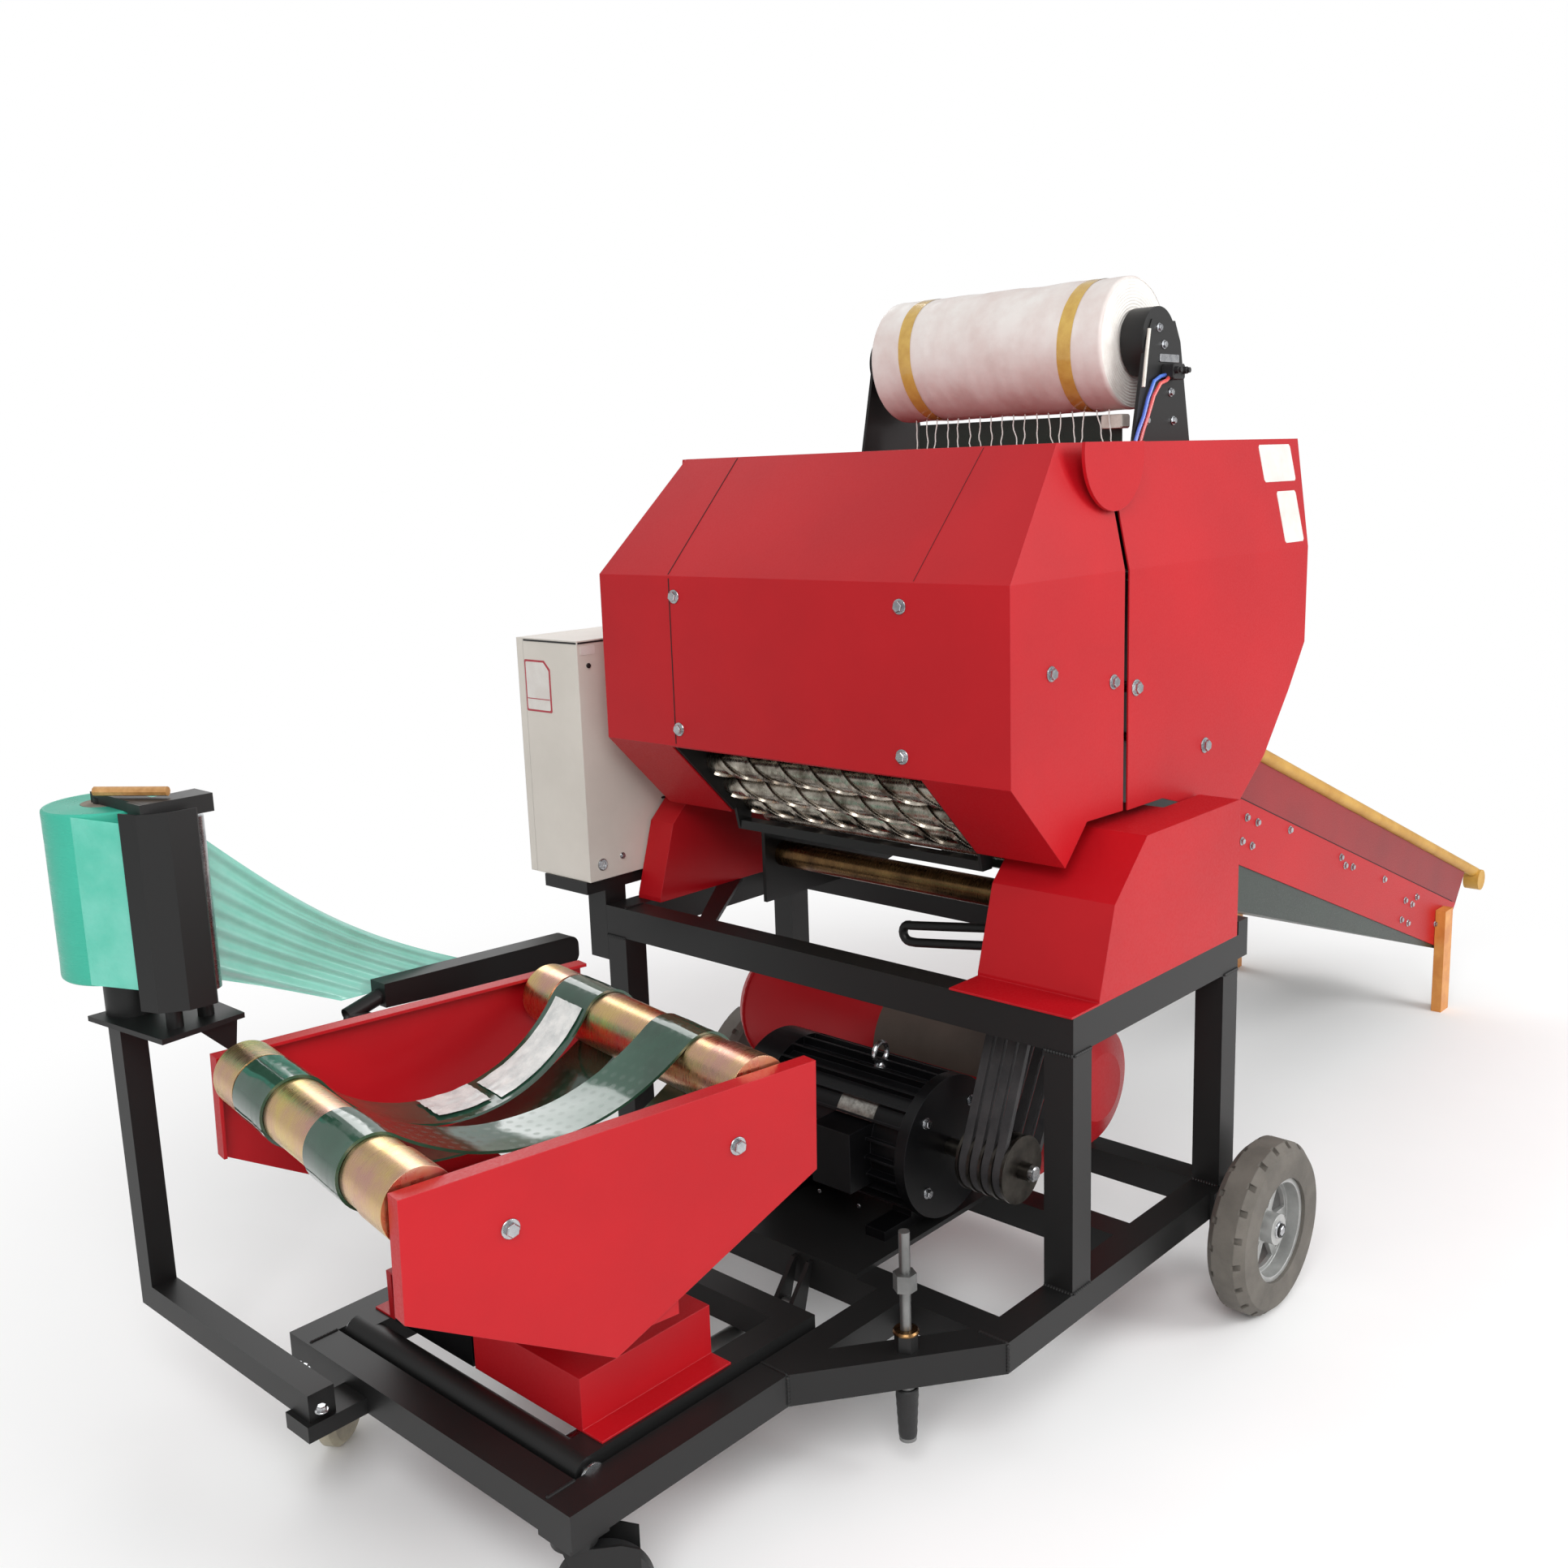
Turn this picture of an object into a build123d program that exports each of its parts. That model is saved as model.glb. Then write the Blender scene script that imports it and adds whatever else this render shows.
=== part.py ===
from build123d import *
import os
from math import atan2, cos, degrees, hypot, pi, radians, sin, sqrt, tan

# Small silage baler with a wrapping table, in millimetres.
# X = 0 is the front face of the upper frame. +X runs to the feed conveyor, -X to the
# wrapping table, +Y to the control cabinet, and Z = 0 is the floor. The last section
# moves every piece so that the origin lies under the middle of the whole machine.

# Frame
frame_width = 1016
frame_length = 507
frame_top = 632
upper_rail = 57
tube = 50
lower_top = 199
lower_rail = 48
narrow_width = 641
brace_sheet = 8
kink_rear = -167
kink_front = -424
frame_front = -809
cross_front = -142
cross_motor = 225
motor_plate_rear = 204
motor_plate_near = -228
corner_block = 33
corner_block_low = 590
corner_block_high = 655
brace_start = (25, 288)
brace_end = (321, 458)
brace_width = 38

# Clearances
seat = 0.3
running = 5
pin_gap = 0.3
overrun = 20

# Sheet metal
sheet = 3
plate = 8

# Rear wheels
wheel_radius = 147
wheel_x = 472
wheel_width = 66
wheel_outer = 616
rim_radius = 88
rim_width = 54
hub_radius = 26
axle_radius = 12
tyre_shoulder = 14
lug_count = 20
lug_gap = 11
lug_depth = 9
spoke_count = 6
spoke_width = 15
stub_plate_height = 84
stub_plate_length = 90

# Casters
caster_wheel_radius = 62.5
caster_wheel_width = 34
caster_trail = 34
caster_x = -778
caster_y = 286
caster_hub_radius = 19
caster_axle_radius = 6
caster_plate_size = 62
caster_plate = 7
caster_race_radius = 30
fork_sheet = 4
caster_angles = (-40, 35)
caster_cheek = 46
caster_side_gap = 3

# Hood and bale chamber
hood_top_half = 387
hood_lean = 42
hood_half = hood_top_half + hood_lean
hood_break = 1251
hood_top = 1442
gate_front = -38
gate_low = 963
gate_ridge = 143
gate_rear = 266
gate_tip = (102, 821)
gate_step = (162, 881)
gate_sill = 879
hood_front = 280
hood_rear = 903
hood_rear_top = 938
hood_sill_x = 389
hood_sill_drop = 2
hood_sill = (hood_sill_x, gate_sill - hood_sill_drop)
hood_under = ((567, 824), (660, 826), (749, 891), (840, 997), (901, 1079))
chamber_half = 262
chamber_x = 300
chamber_z = 1090
chamber_radius = 292
roller_radius = 27
rib_height = 5
rib_width = 9
rib_pitch = 210
rib_starts = 3
roller_step_degrees = 12
gate_roller_degrees = 203
gate_roller_count = 4
rear_roller_degrees = 252
rear_roller_count = 5
gate_side = 6
gate_bar = (118, 788)
chamber_side = 8
stud_places = ((302, 1068), (528, 943), (560, 1230), (320, 1240))
stud_radius = 9
hinge_x = 250
hinge_z = 1425
hinge_pin_radius = 10
hinge_boss_radius = 15
hinge_boss_reach = 30
ear_radius = 85
ear_standoff = 28
ear_y = hood_top_half + ear_standoff
ear_thick = 6
discharge_x = 240
discharge_z = 716
discharge_radius = 24

# Belt drive
guard_outline = ((71, 632), (71, 640), (112, 775), (204, 862), (502, 864), (502, 632))
guard_inner = 290
guard_flange = 25
main_pulley_radius = 76
motor_pulley_radius = 52
belt_count = 4
belt_pitch = 21
belt_width = 15
belt_height = 10
belt_inner_y = 292
pulley_flange = 5
shaft_radius = 14

# Motor
motor_x = 60
motor_base = 207
motor_height = 132
motor_radius = 103
motor_fin = 14
motor_fin_count = 24
motor_fin_thick = 4
motor_front = -238
motor_back = 132
motor_shield = 40
motor_cowl = 62

# Net roll and its brackets
net_x = 603
net_z = 1609
net_radius = 112
net_half = 245
net_core_radius = 28
bracket_y = 288
bracket_sheet = 6
bracket_foot = 190
bracket_head = 116
bracket_rise = 34
bracket_shift = 11
net_disc_radius = 56

# Cabinet
cabinet_x = -40
cabinet_length = 300
cabinet_y = 500
cabinet_depth = 155
cabinet_z = 684
cabinet_height = 446
cabinet_sheet = 2
door_depth = 18

# Conveyor
conveyor_half = 272.7
conveyor_top = (700, 731.6)
conveyor_length = 1552
conveyor_slope_degrees = 22.1
conveyor_side = 126
hopper_side = 86
conveyor_drum_radius = 38
conveyor_belt_sheet = 4
conveyor_gap = 6
edge_tube_radius = 14
edge_tube_reach = 136
end_knob_radius = 27
end_knob_drop = 34
end_knob_width = 38
pan_start = 60
pan_depth = 108
pan_end_depth = 6
pan_sheet = 2
leg_x = 2095
leg_width = 50
leg_depth = 25
leg_height = 268

# Wrapping table
table_x = -621
table_turn_degrees = 8.7
table_half = 302
table_sheet = 5
table_flange = 20
beam_rise = 20
table_outline = ((-299, 646), (299, 646), (295, 492), (-33, 346), (-303, 497))
roller_front = (-260, 615)
roller_rear = (225, 615)
wrap_roller_radius = 45
wrap_collar = 2.5
wrap_collar_width = 74
wrap_spindle_radius = 12
wrap_belt_width = 100
wrap_belt_sheet = 4
wrap_belt_places = ((-102, 316), (141, 163))
wrap_low_centre = 300
beam_width = 130
beam_height = 60
hub_height = 49
turn_radius = 60
hat_top = 288
hat_front = -702
hat_rear = -469
hat_edge_gap = 5
hat_flange = 38
hat_gap_near = 10
hat_corner = 11

# Tilting frame
tilt_x = -730
tilt_z = 190
tilt_gap = 8.5
tilt_rail = 45
tilt_tube_radius = 22.5
tilt_rear = -300
tilt_pin_radius = 10
tilt_pin_reach = 36

# Table cylinder
cylinder_y = -120
cylinder_foot = (-205, 130)
cylinder_eye = (-730, 130)
barrel_radius = 22
barrel_length = 260
rod_overlap = 98
rod_radius = 9
eye_radius = 14
eye_width = 20
eye_bore = 6
ear_gap = 4

# Film holder
film_x = -855
film_y = 612
film_z = 715
film_radius = 92
film_height = 256
film_core_radius = 38
post_x = -872
post_y = 600
post_tube = 40
post_top = 640
arm_z = 195
arm_start = 128
stretch_radius = 27
stretch_height = 262
stretch_z = 690
stretch_places = ((-850, 486), (-795, 500))
holder_plate = 8
core_bar = 34
cover_points = ((-894, 494), (-883, 462), (-847, 439), (-806, 437))
cover_low = 682
cover_high = 974
gusset_drop = 62
gusset_reach = 70

# Film clamp and film web
clamp_y = 470
clamp_front = (-520, 610)
clamp_rear = (-118, 587)
clamp_half = 20
clamp_rear_half = 26
clamp_link = (-581, 589)
clamp_foot_x = -300
clamp_foot_y = 380
clamp_stem_top = 470
clamp_stem_radius = 13
web_low = 690
web_high = 935
web_x = -767.7
web_y = 502
web_sheet = 3
web_end_front = -575
web_end_rear = -295

# Air tank
tank_x = 350
tank_z = 372
tank_radius = 118
tank_left = 430
tank_right = -345
tank_dish = 40

# Jack leg
jack_x = -268
jack_y = -405
jack_radius = 16
jack_low = 58
jack_foot_radius = 25
jack_nut_radius = 17
jack_nut_height = 26
jack_top = 378
jack_travel = 55


def outline_prism(points, y_low, y_high, mode=Mode.ADD):
    """An (x, z) outline made solid between two places along Y."""
    with BuildSketch(Plane.XZ.offset(-y_high)) as profile:
        with BuildLine():
            Polyline(*points, close=True)
        make_face()
    extrude(profile.sketch, amount=y_high - y_low, mode=mode)


def section_prism(points, x_low, x_high, mode=Mode.ADD):
    """A (y, z) section made solid between two places along X."""
    with BuildSketch(Plane.YZ.offset(x_low)) as profile:
        with BuildLine():
            Polyline(*points, close=True)
        make_face()
    extrude(profile.sketch, amount=x_high - x_low, mode=mode)


def block(span_x, span_y, span_z, mode=Mode.ADD):
    """A rectangular bar or plate between two places on each axis."""
    middle = [(low + high) / 2 for low, high in (span_x, span_y, span_z)]
    sides = [abs(high - low) for low, high in (span_x, span_y, span_z)]
    with Locations(tuple(middle)):
        Box(*sides, mode=mode)


def rod_y(x, z, radius, y_low, y_high, mode=Mode.ADD):
    """A round bar along Y."""
    with BuildSketch(Plane.XZ.offset(-y_high)) as profile:
        with Locations((x, z)):
            Circle(radius)
    extrude(profile.sketch, amount=y_high - y_low, mode=mode)


def rod_z(x, y, radius, z_low, z_high, mode=Mode.ADD):
    """A round bar along Z."""
    with BuildSketch(Plane.XY.offset(z_low)) as profile:
        with Locations((x, y)):
            Circle(radius)
    extrude(profile.sketch, amount=z_high - z_low, mode=mode)


def mirrored(spans, side):
    """A span of Y on the +Y side (1) or the -Y side (-1)."""
    low, high = spans[0] * side, spans[1] * side
    return (min(low, high), max(low, high))


half_width = frame_width / 2
half_narrow = narrow_width / 2
lower_low = lower_top - lower_rail
sides = (-1, 1)

# Lower frame: side rails that step in to the wrapping table, with cross rails
lower_outline = [
    (frame_length, -half_width),
    (kink_rear, -half_width),
    (kink_front, -half_narrow),
    (frame_front, -half_narrow),
    (frame_front, half_narrow),
    (kink_front, half_narrow),
    (kink_rear, half_width),
    (frame_length, half_width),
]
with BuildPart() as lower_frame:
    with BuildSketch(Plane.XY.offset(lower_low)):
        with BuildLine():
            Polyline(*lower_outline, close=True)
        make_face()
        offset(amount=-tube, kind=Kind.INTERSECTION, mode=Mode.SUBTRACT)
        for cross in (cross_front, cross_motor):
            with Locations((cross, 0)):
                Rectangle(tube, frame_width - tube)
        for side in sides:
            with Locations(((kink_front + cross_front) / 2, side * (half_narrow - tube / 2))):
                Rectangle(cross_front - kink_front, tube)
        with Locations((jack_x, jack_y)):
            Circle(jack_radius / 2 + pin_gap, mode=Mode.SUBTRACT)
    extrude(amount=lower_rail)
    with BuildSketch(Plane.XY.offset(lower_top)):
        with Locations((jack_x, jack_y)):
            RegularPolygon(jack_nut_radius, 6)
            Circle(jack_radius / 2 + pin_gap, mode=Mode.SUBTRACT)
    extrude(amount=jack_nut_height)
lower_frame.part.label = "lower_frame"

# Upper frame and its four posts
upper_low = frame_top - upper_rail
with BuildPart() as upper_frame:
    with BuildSketch(Plane.XY.offset(upper_low)):
        with Locations((frame_length / 2, 0)):
            Rectangle(frame_length, frame_width)
        offset(amount=-tube, kind=Kind.INTERSECTION, mode=Mode.SUBTRACT)
    extrude(amount=upper_rail)
    with BuildSketch(Plane.XY.offset(frame_top - brace_sheet)):
        with BuildLine():
            Polyline(
                (brace_start[0], brace_start[1] - brace_width),
                (brace_start[0], brace_start[1]),
                (brace_end[0] - brace_width, brace_end[1] + tube / 2),
                (brace_end[0], brace_end[1] + tube / 2),
                (brace_end[0], brace_end[1]),
                close=True,
            )
        make_face()
    extrude(amount=brace_sheet)
    block(
        (frame_length, frame_length + corner_block),
        (-half_width, corner_block - half_width),
        (corner_block_low, corner_block_high),
    )
upper_frame.part.label = "upper_frame"

with BuildPart() as posts:
    for x in (0, frame_length - tube):
        for side in sides:
            block((x, x + tube), mirrored((half_width - tube, half_width), side), (lower_top, upper_low))
posts.part.label = "posts"

# Stub axles on plates at the outside of the lower rails
stub_end = wheel_outer + seat
with BuildPart() as axle_stubs:
    for side in sides:
        block(
            (wheel_x - stub_plate_length / 2, wheel_x + stub_plate_length / 2 - tube / 4),
            mirrored((half_width, half_width + plate), side),
            (lower_top - stub_plate_height, lower_top),
        )
        rod_y(wheel_x, wheel_radius, axle_radius, *mirrored((half_width + plate, stub_end), side))
axle_stubs.part.label = "axle_stubs"

# Rear wheels: tyre and rim as separate pieces
wheel_inner = wheel_outer - wheel_width
tyre_parts, rim_parts = [], []
for side in sides:
    middle = side * (wheel_outer + wheel_inner) / 2
    wheel_plane = Plane(origin=(wheel_x, middle, wheel_radius), x_dir=(0, 1, 0), z_dir=(1, 0, 0))
    half = wheel_width / 2
    with BuildPart() as tyre:
        with BuildSketch(wheel_plane):
            with BuildLine():
                Polyline(
                    (-half, rim_radius + seat),
                    (half, rim_radius + seat),
                    (half, wheel_radius - tyre_shoulder),
                    (half - tyre_shoulder, wheel_radius),
                    (tyre_shoulder - half, wheel_radius),
                    (-half, wheel_radius - tyre_shoulder),
                    close=True,
                )
            make_face()
        revolve(axis=Axis((wheel_x, 0, wheel_radius), (0, 1, 0)))
        for edge in sides:
            with Locations(Plane(origin=(wheel_x, middle + edge * half, wheel_radius), z_dir=(0, 1, 0))):
                with PolarLocations(wheel_radius, lug_count, start_angle=edge * 90 / lug_count):
                    Box(2 * lug_depth, lug_gap, wheel_width / 2, mode=Mode.SUBTRACT)
    rim_half = rim_width / 2
    with BuildPart() as rim:
        with BuildSketch(wheel_plane):
            with BuildLine():
                Polyline(
                    (-rim_half, axle_radius + pin_gap),
                    (rim_half, axle_radius + pin_gap),
                    (rim_half, hub_radius),
                    (plate / 2, hub_radius),
                    (plate / 2, rim_radius - plate),
                    (rim_half, rim_radius - plate),
                    (rim_half, rim_radius),
                    (-rim_half, rim_radius),
                    (-rim_half, rim_radius - plate),
                    (-plate / 2, rim_radius - plate),
                    (-plate / 2, hub_radius),
                    (-rim_half, hub_radius),
                    close=True,
                )
            make_face()
        revolve(axis=Axis((wheel_x, 0, wheel_radius), (0, 1, 0)))
        with BuildSketch(Plane.XZ.offset(-middle)) as windows:
            with Locations((wheel_x, wheel_radius)):
                Circle(rim_radius - 2 * plate)
                Circle(hub_radius + plate / 2, mode=Mode.SUBTRACT)
                with PolarLocations(0, spoke_count):
                    with Locations((rim_radius / 2, 0)):
                        Rectangle(rim_radius, spoke_width, mode=Mode.SUBTRACT)
        extrude(windows.sketch, amount=plate, both=True, mode=Mode.SUBTRACT)
    tyre_parts.append(tyre.part)
    rim_parts.append(rim.part)

# Swivelling casters under the front corners
plate_low = lower_low - caster_plate
with BuildPart() as caster_plates:
    for side in sides:
        block(
            (caster_x - caster_plate_size / 2, caster_x + caster_plate_size / 2),
            (side * caster_y - caster_plate_size / 2, side * caster_y + caster_plate_size / 2),
            (plate_low, lower_low),
        )
caster_plates.part.label = "caster_plates"

fork_parts, caster_parts = [], []
fork_gap = caster_wheel_width / 2 + caster_side_gap
fork_top = plate_low - seat
for side, angle in zip(sides, caster_angles):
    turn = (cos(radians(angle)), sin(radians(angle)), 0)
    across = Plane(
        origin=(caster_x, side * caster_y, 0),
        x_dir=turn,
        z_dir=(sin(radians(angle)), -cos(radians(angle)), 0),
    )
    cheek = (
        (-caster_race_radius / 2, fork_top - plate),
        (caster_trail + caster_cheek / 2, fork_top - plate),
        (caster_trail + caster_cheek, fork_top - 2 * plate),
        (caster_trail + caster_cheek, caster_wheel_radius),
        (caster_trail + caster_hub_radius, caster_wheel_radius - caster_hub_radius),
        (caster_trail - caster_hub_radius, caster_wheel_radius - caster_hub_radius),
    )
    with BuildPart() as fork:
        with BuildSketch(across.offset(-fork_gap - fork_sheet)) as near_cheek:
            with BuildLine():
                Polyline(*cheek, close=True)
            make_face()
        extrude(amount=fork_sheet)
        with BuildSketch(across.offset(fork_gap)) as far_cheek:
            with BuildLine():
                Polyline(*cheek, close=True)
            make_face()
        extrude(amount=fork_sheet)
        rod_z(caster_x, side * caster_y, caster_race_radius, fork_top - plate, fork_top)
        with BuildSketch(across.offset(-fork_gap)):
            with Locations((caster_trail, caster_wheel_radius)):
                Circle(caster_axle_radius)
        extrude(amount=2 * fork_gap)
    with BuildPart() as caster_wheel:
        half = caster_wheel_width / 2
        with BuildSketch(across.offset(-half)):
            with Locations((caster_trail, caster_wheel_radius)):
                Circle(caster_wheel_radius)
                Circle(caster_axle_radius + pin_gap, mode=Mode.SUBTRACT)
        extrude(amount=caster_wheel_width)
        chamfer(caster_wheel.edges().filter_by(GeomType.CIRCLE).sort_by(SortBy.RADIUS)[-2:], length=half / 2)
    fork_parts.append(fork.part)
    caster_parts.append(caster_wheel.part)


# Hood: the gate swings up about its top pins, the rear half stays
def hood_section(x_low, x_high):
    """Cuts a body to the hood's cross section, whose sides lean in above the break."""
    section_prism(
        [
            (-hood_half, 0),
            (hood_half, 0),
            (hood_half, hood_break),
            (hood_top_half, hood_top),
            (-hood_top_half, hood_top),
            (-hood_half, hood_break),
        ],
        x_low,
        x_high,
        mode=Mode.INTERSECT,
    )


gate_outline = [
    (gate_front, gate_low),
    (gate_front, hood_break),
    (gate_ridge, hood_top),
    (gate_rear, hood_top),
    (gate_rear, gate_sill),
    gate_step,
    gate_tip,
]
with BuildPart() as gate_shell:
    outline_prism(gate_outline, -hood_half, hood_half)
    hood_section(gate_front, gate_rear)
    offset(amount=-sheet, openings=gate_shell.faces().sort_by(Axis.X)[-1])
    block(
        (gate_front + sheet, gate_rear + overrun),
        (-chamber_half - gate_side - seat, chamber_half + gate_side + seat),
        (gate_tip[1] - overrun, gate_low + overrun),
        mode=Mode.SUBTRACT,
    )
    for side in sides:
        inner = hood_top_half - hinge_boss_reach
        rod_y(hinge_x, hinge_z, hinge_boss_radius, *mirrored((inner, hood_half), side))
    hood_section(gate_front, gate_rear)
    for side in sides:
        rod_y(
            hinge_x,
            hinge_z,
            hinge_pin_radius + pin_gap,
            *mirrored((inner - overrun, ear_y), side),
            mode=Mode.SUBTRACT,
        )
gate_shell.part.label = "gate_shell"

# Rear half of the hood with the ears that carry the gate's pins
hood_outline = [
    (hood_front, hood_top),
    (hood_front, hood_sill[1]),
    hood_sill,
    *hood_under,
    (hood_rear, hood_break),
    (hood_rear_top, hood_top),
]
with BuildPart() as rear_hood:
    outline_prism(hood_outline, -hood_half, hood_half)
    hood_section(hood_front, hood_rear_top)
    outline_prism(
        [
            (hood_front - overrun, hood_top - sheet),
            (hood_front - overrun, hood_sill[1] - 4 * overrun),
            (hood_under[1][0], hood_under[1][1] - 2 * overrun),
            (hood_rear - sheet, hood_under[4][1] - 4 * overrun),
            (hood_rear - sheet, hood_break),
            (hood_rear_top - sheet, hood_top - sheet),
        ],
        sheet - hood_top_half,
        hood_top_half - sheet,
        mode=Mode.SUBTRACT,
    )
    lean = hood_lean / (hood_top - hood_break)
    for side in sides:
        section_prism(
            [
                (side * (hood_half - sheet), 0),
                (side * (hood_half - sheet), hood_break),
                (side * (hood_top_half - sheet + lean * sheet), hood_top - sheet),
                (side * (hood_top_half - 2 * overrun), hood_top - sheet),
                (side * (hood_top_half - 2 * overrun), 0),
            ],
            hood_front - overrun,
            hood_rear - sheet,
            mode=Mode.SUBTRACT,
        )
rear_hood.part.label = "rear_hood"

ear_foot = hood_front + plate
with BuildPart() as hinge_ears:
    for side in sides:
        with BuildSketch(Plane.XZ.offset(-side * ear_y)) as disc:
            with Locations((hinge_x, hinge_z)):
                Circle(ear_radius)
            with Locations((hinge_x, hood_top + ear_radius)):
                Rectangle(2 * ear_radius, 2 * ear_radius, mode=Mode.SUBTRACT)
        extrude(disc.sketch, amount=-side * ear_thick)
        pin_span = mirrored((hood_top_half - hinge_boss_radius, ear_y), side)
        rod_y(hinge_x, hinge_z, hinge_pin_radius, *pin_span)
        foot_low = hinge_z - 2 * hinge_boss_radius
        section_prism(
            [
                (side * (hood_half - lean * (foot_low - hood_break) + seat), foot_low),
                (side * (hood_half - lean * (hinge_z - hood_break) + seat), hinge_z),
                (side * ear_y, hinge_z),
                (side * ear_y, foot_low),
            ],
            ear_foot,
            ear_foot + hinge_boss_radius,
        )
hinge_ears.part.label = "hinge_ears"

# Chamber side plates that swing with the gate, and the fixed pair behind them
gate_tail = (
    (gate_tip[0] + 2 * sheet, gate_tip[1] + 3 * sheet),
    gate_bar,
    (gate_bar[0] + tube / 2, gate_bar[1]),
    (gate_step[0], gate_step[1] + 3 * sheet),
)
with BuildPart() as gate_sides:
    with BuildSketch(Plane.XZ.offset(-chamber_half - gate_side)) as gate_plate:
        with BuildLine():
            Polyline(*gate_outline, close=True)
        make_face()
        offset(amount=-sheet - seat, kind=Kind.INTERSECTION)
        with BuildLine():
            Polyline(*gate_tail, close=True)
        make_face()
    extrude(gate_plate.sketch, amount=gate_side)
    mirror(about=Plane.XZ)
    block(
        (gate_bar[0], gate_bar[0] + tube / 2),
        (-chamber_half, chamber_half),
        (gate_bar[1], gate_bar[1] + 2 * plate),
    )
gate_sides.part.label = "gate_sides"

fixed_inner = chamber_half + gate_side + running
fixed_outline = [
    (discharge_x - tube, frame_top),
    (frame_length, frame_top),
    (conveyor_top[0] + tube, conveyor_top[1] - tube),
    (conveyor_top[0] + tube, chamber_z),
    (chamber_x + chamber_radius, hood_break),
    (chamber_x + chamber_radius / 2, hood_top - tube),
    (hood_front + sheet, hood_top - tube),
    (hood_front + sheet, hood_sill[1] - tube),
    (discharge_x - tube, discharge_z + tube),
]
with BuildPart() as chamber_sides:
    for side in sides:
        outline_prism(fixed_outline, *mirrored((fixed_inner, fixed_inner + chamber_side), side))
chamber_sides.part.label = "chamber_sides"


stud_outer = hood_half - sheet - seat
with BuildPart() as hood_studs:
    for x, z in stud_places:
        for side in sides:
            rod_y(x, z, stud_radius, *mirrored((fixed_inner + chamber_side + seat, stud_outer), side))
hood_studs.part.label = "hood_studs"


# Rollers round the bale chamber: bars with spiral ribs that turn and grip the straw
bar_half = chamber_half - seat
rib_base = roller_radius - rib_height
with BuildPart() as spiral_rib:
    with BuildLine() as rib_path:
        Helix(
            pitch=rib_pitch,
            height=2 * (bar_half - rib_width),
            radius=rib_base,
            center=(0, 0, rib_width - bar_half),
        )
    rib_start = Plane(origin=rib_path.line @ 0, x_dir=(1, 0, 0), z_dir=rib_path.line % 0)
    with BuildSketch(rib_start):
        Rectangle(2 * rib_height, rib_width)
    sweep(is_frenet=True)

with BuildPart() as ribbed_bar:
    rod_z(0, 0, rib_base, -bar_half, bar_half)
    with PolarLocations(0, rib_starts):
        add(spiral_rib.part)


def chamber_place(angle):
    """The axis of a roller on the chamber's circle, at an angle from +X."""
    return chamber_x + chamber_radius * cos(radians(angle)), chamber_z + chamber_radius * sin(radians(angle))


with BuildPart() as gate_rollers:
    for index in range(gate_roller_count):
        x, z = chamber_place(gate_roller_degrees + index * roller_step_degrees)
        with Locations(Location((x, 0, z), (90, 0, 0))):
            add(ribbed_bar.part)
gate_rollers.part.label = "gate_rollers"

with BuildPart() as rear_rollers:
    for index in range(rear_roller_count):
        x, z = chamber_place(rear_roller_degrees + index * roller_step_degrees)
        rod_y(x, z, roller_radius, seat - fixed_inner, fixed_inner - seat)
rear_rollers.part.label = "rear_rollers"

with BuildPart() as discharge_roller:
    rod_y(discharge_x, discharge_z, discharge_radius, -fixed_inner + seat, fixed_inner - seat)
discharge_roller.part.label = "discharge_roller"

# Belt guard on the near side, chain guard on the far side
with BuildPart() as belt_guard:
    outline_prism(guard_outline, -half_width, -guard_inner)
    open_faces = [belt_guard.faces().sort_by(Axis.Z)[0], belt_guard.faces().sort_by(Axis.Y)[-1]]
    offset(amount=-sheet, openings=open_faces)
    block(
        (hood_sill[0] - running, frame_length),
        (-hood_half - running, -guard_inner),
        (hood_under[0][1] - running, guard_outline[4][1] + running),
        mode=Mode.SUBTRACT,
    )
    block(
        (guard_outline[0][0] - 3 * guard_flange, guard_outline[0][0] + sheet),
        (-half_width, -guard_inner),
        (frame_top, frame_top + sheet),
    )
belt_guard.part.label = "belt_guard"

chain_inner = hood_half + running
with BuildPart() as chain_guard:
    outline_prism(guard_outline, chain_inner, cabinet_y - running)
    offset(amount=-sheet, openings=chain_guard.faces().filter_by(Plane.XY).sort_by(Axis.Z)[0])
chain_guard.part.label = "chain_guard"

# Motor with cooling fins, cowl, feet and terminal box
motor_z = motor_base + motor_height
with BuildPart() as motor_plate:
    block(
        (cross_front - tube / 2, motor_plate_rear),
        (motor_plate_near, motor_back + tube / 2),
        (lower_top, motor_base),
    )
motor_plate.part.label = "motor_plate"

with BuildPart() as motor:
    rod_y(motor_x, motor_z, motor_radius, motor_front, motor_back)
    rod_y(motor_x, motor_z, motor_radius + motor_fin, motor_front, motor_front + motor_shield / 2)
    rod_y(motor_x, motor_z, motor_radius + motor_fin, motor_back - motor_cowl, motor_back)
    with BuildSketch(Plane.XZ.offset(-motor_back)) as fins:
        with PolarLocations(motor_radius, motor_fin_count):
            Rectangle(2 * motor_fin, motor_fin_thick)
    fin_faces = Sketch() + [Pos(motor_x, 0, motor_z) * face for face in fins.sketch.faces()]
    extrude(fin_faces, amount=motor_back - motor_front)
    for end in (motor_front + motor_shield, motor_back - motor_cowl - motor_shield):
        block(
            (motor_x - motor_height + tube / 4, motor_x + motor_height - tube / 4),
            (end, end + motor_shield),
            (motor_base, motor_base + 2 * plate),
        )
        block((motor_x - tube, motor_x + tube), (end, end + motor_shield), (motor_base, motor_z))
    block(
        (motor_x - motor_radius - tube, motor_x - motor_radius / 2),
        (motor_front + 2 * motor_shield, motor_front + 4 * motor_shield),
        (motor_z - tube, motor_z + tube),
    )
motor.part.label = "motor"

# Grooved pulleys on the motor's and the main shaft, with their belts
belt_end = belt_inner_y + belt_count * belt_pitch


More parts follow.
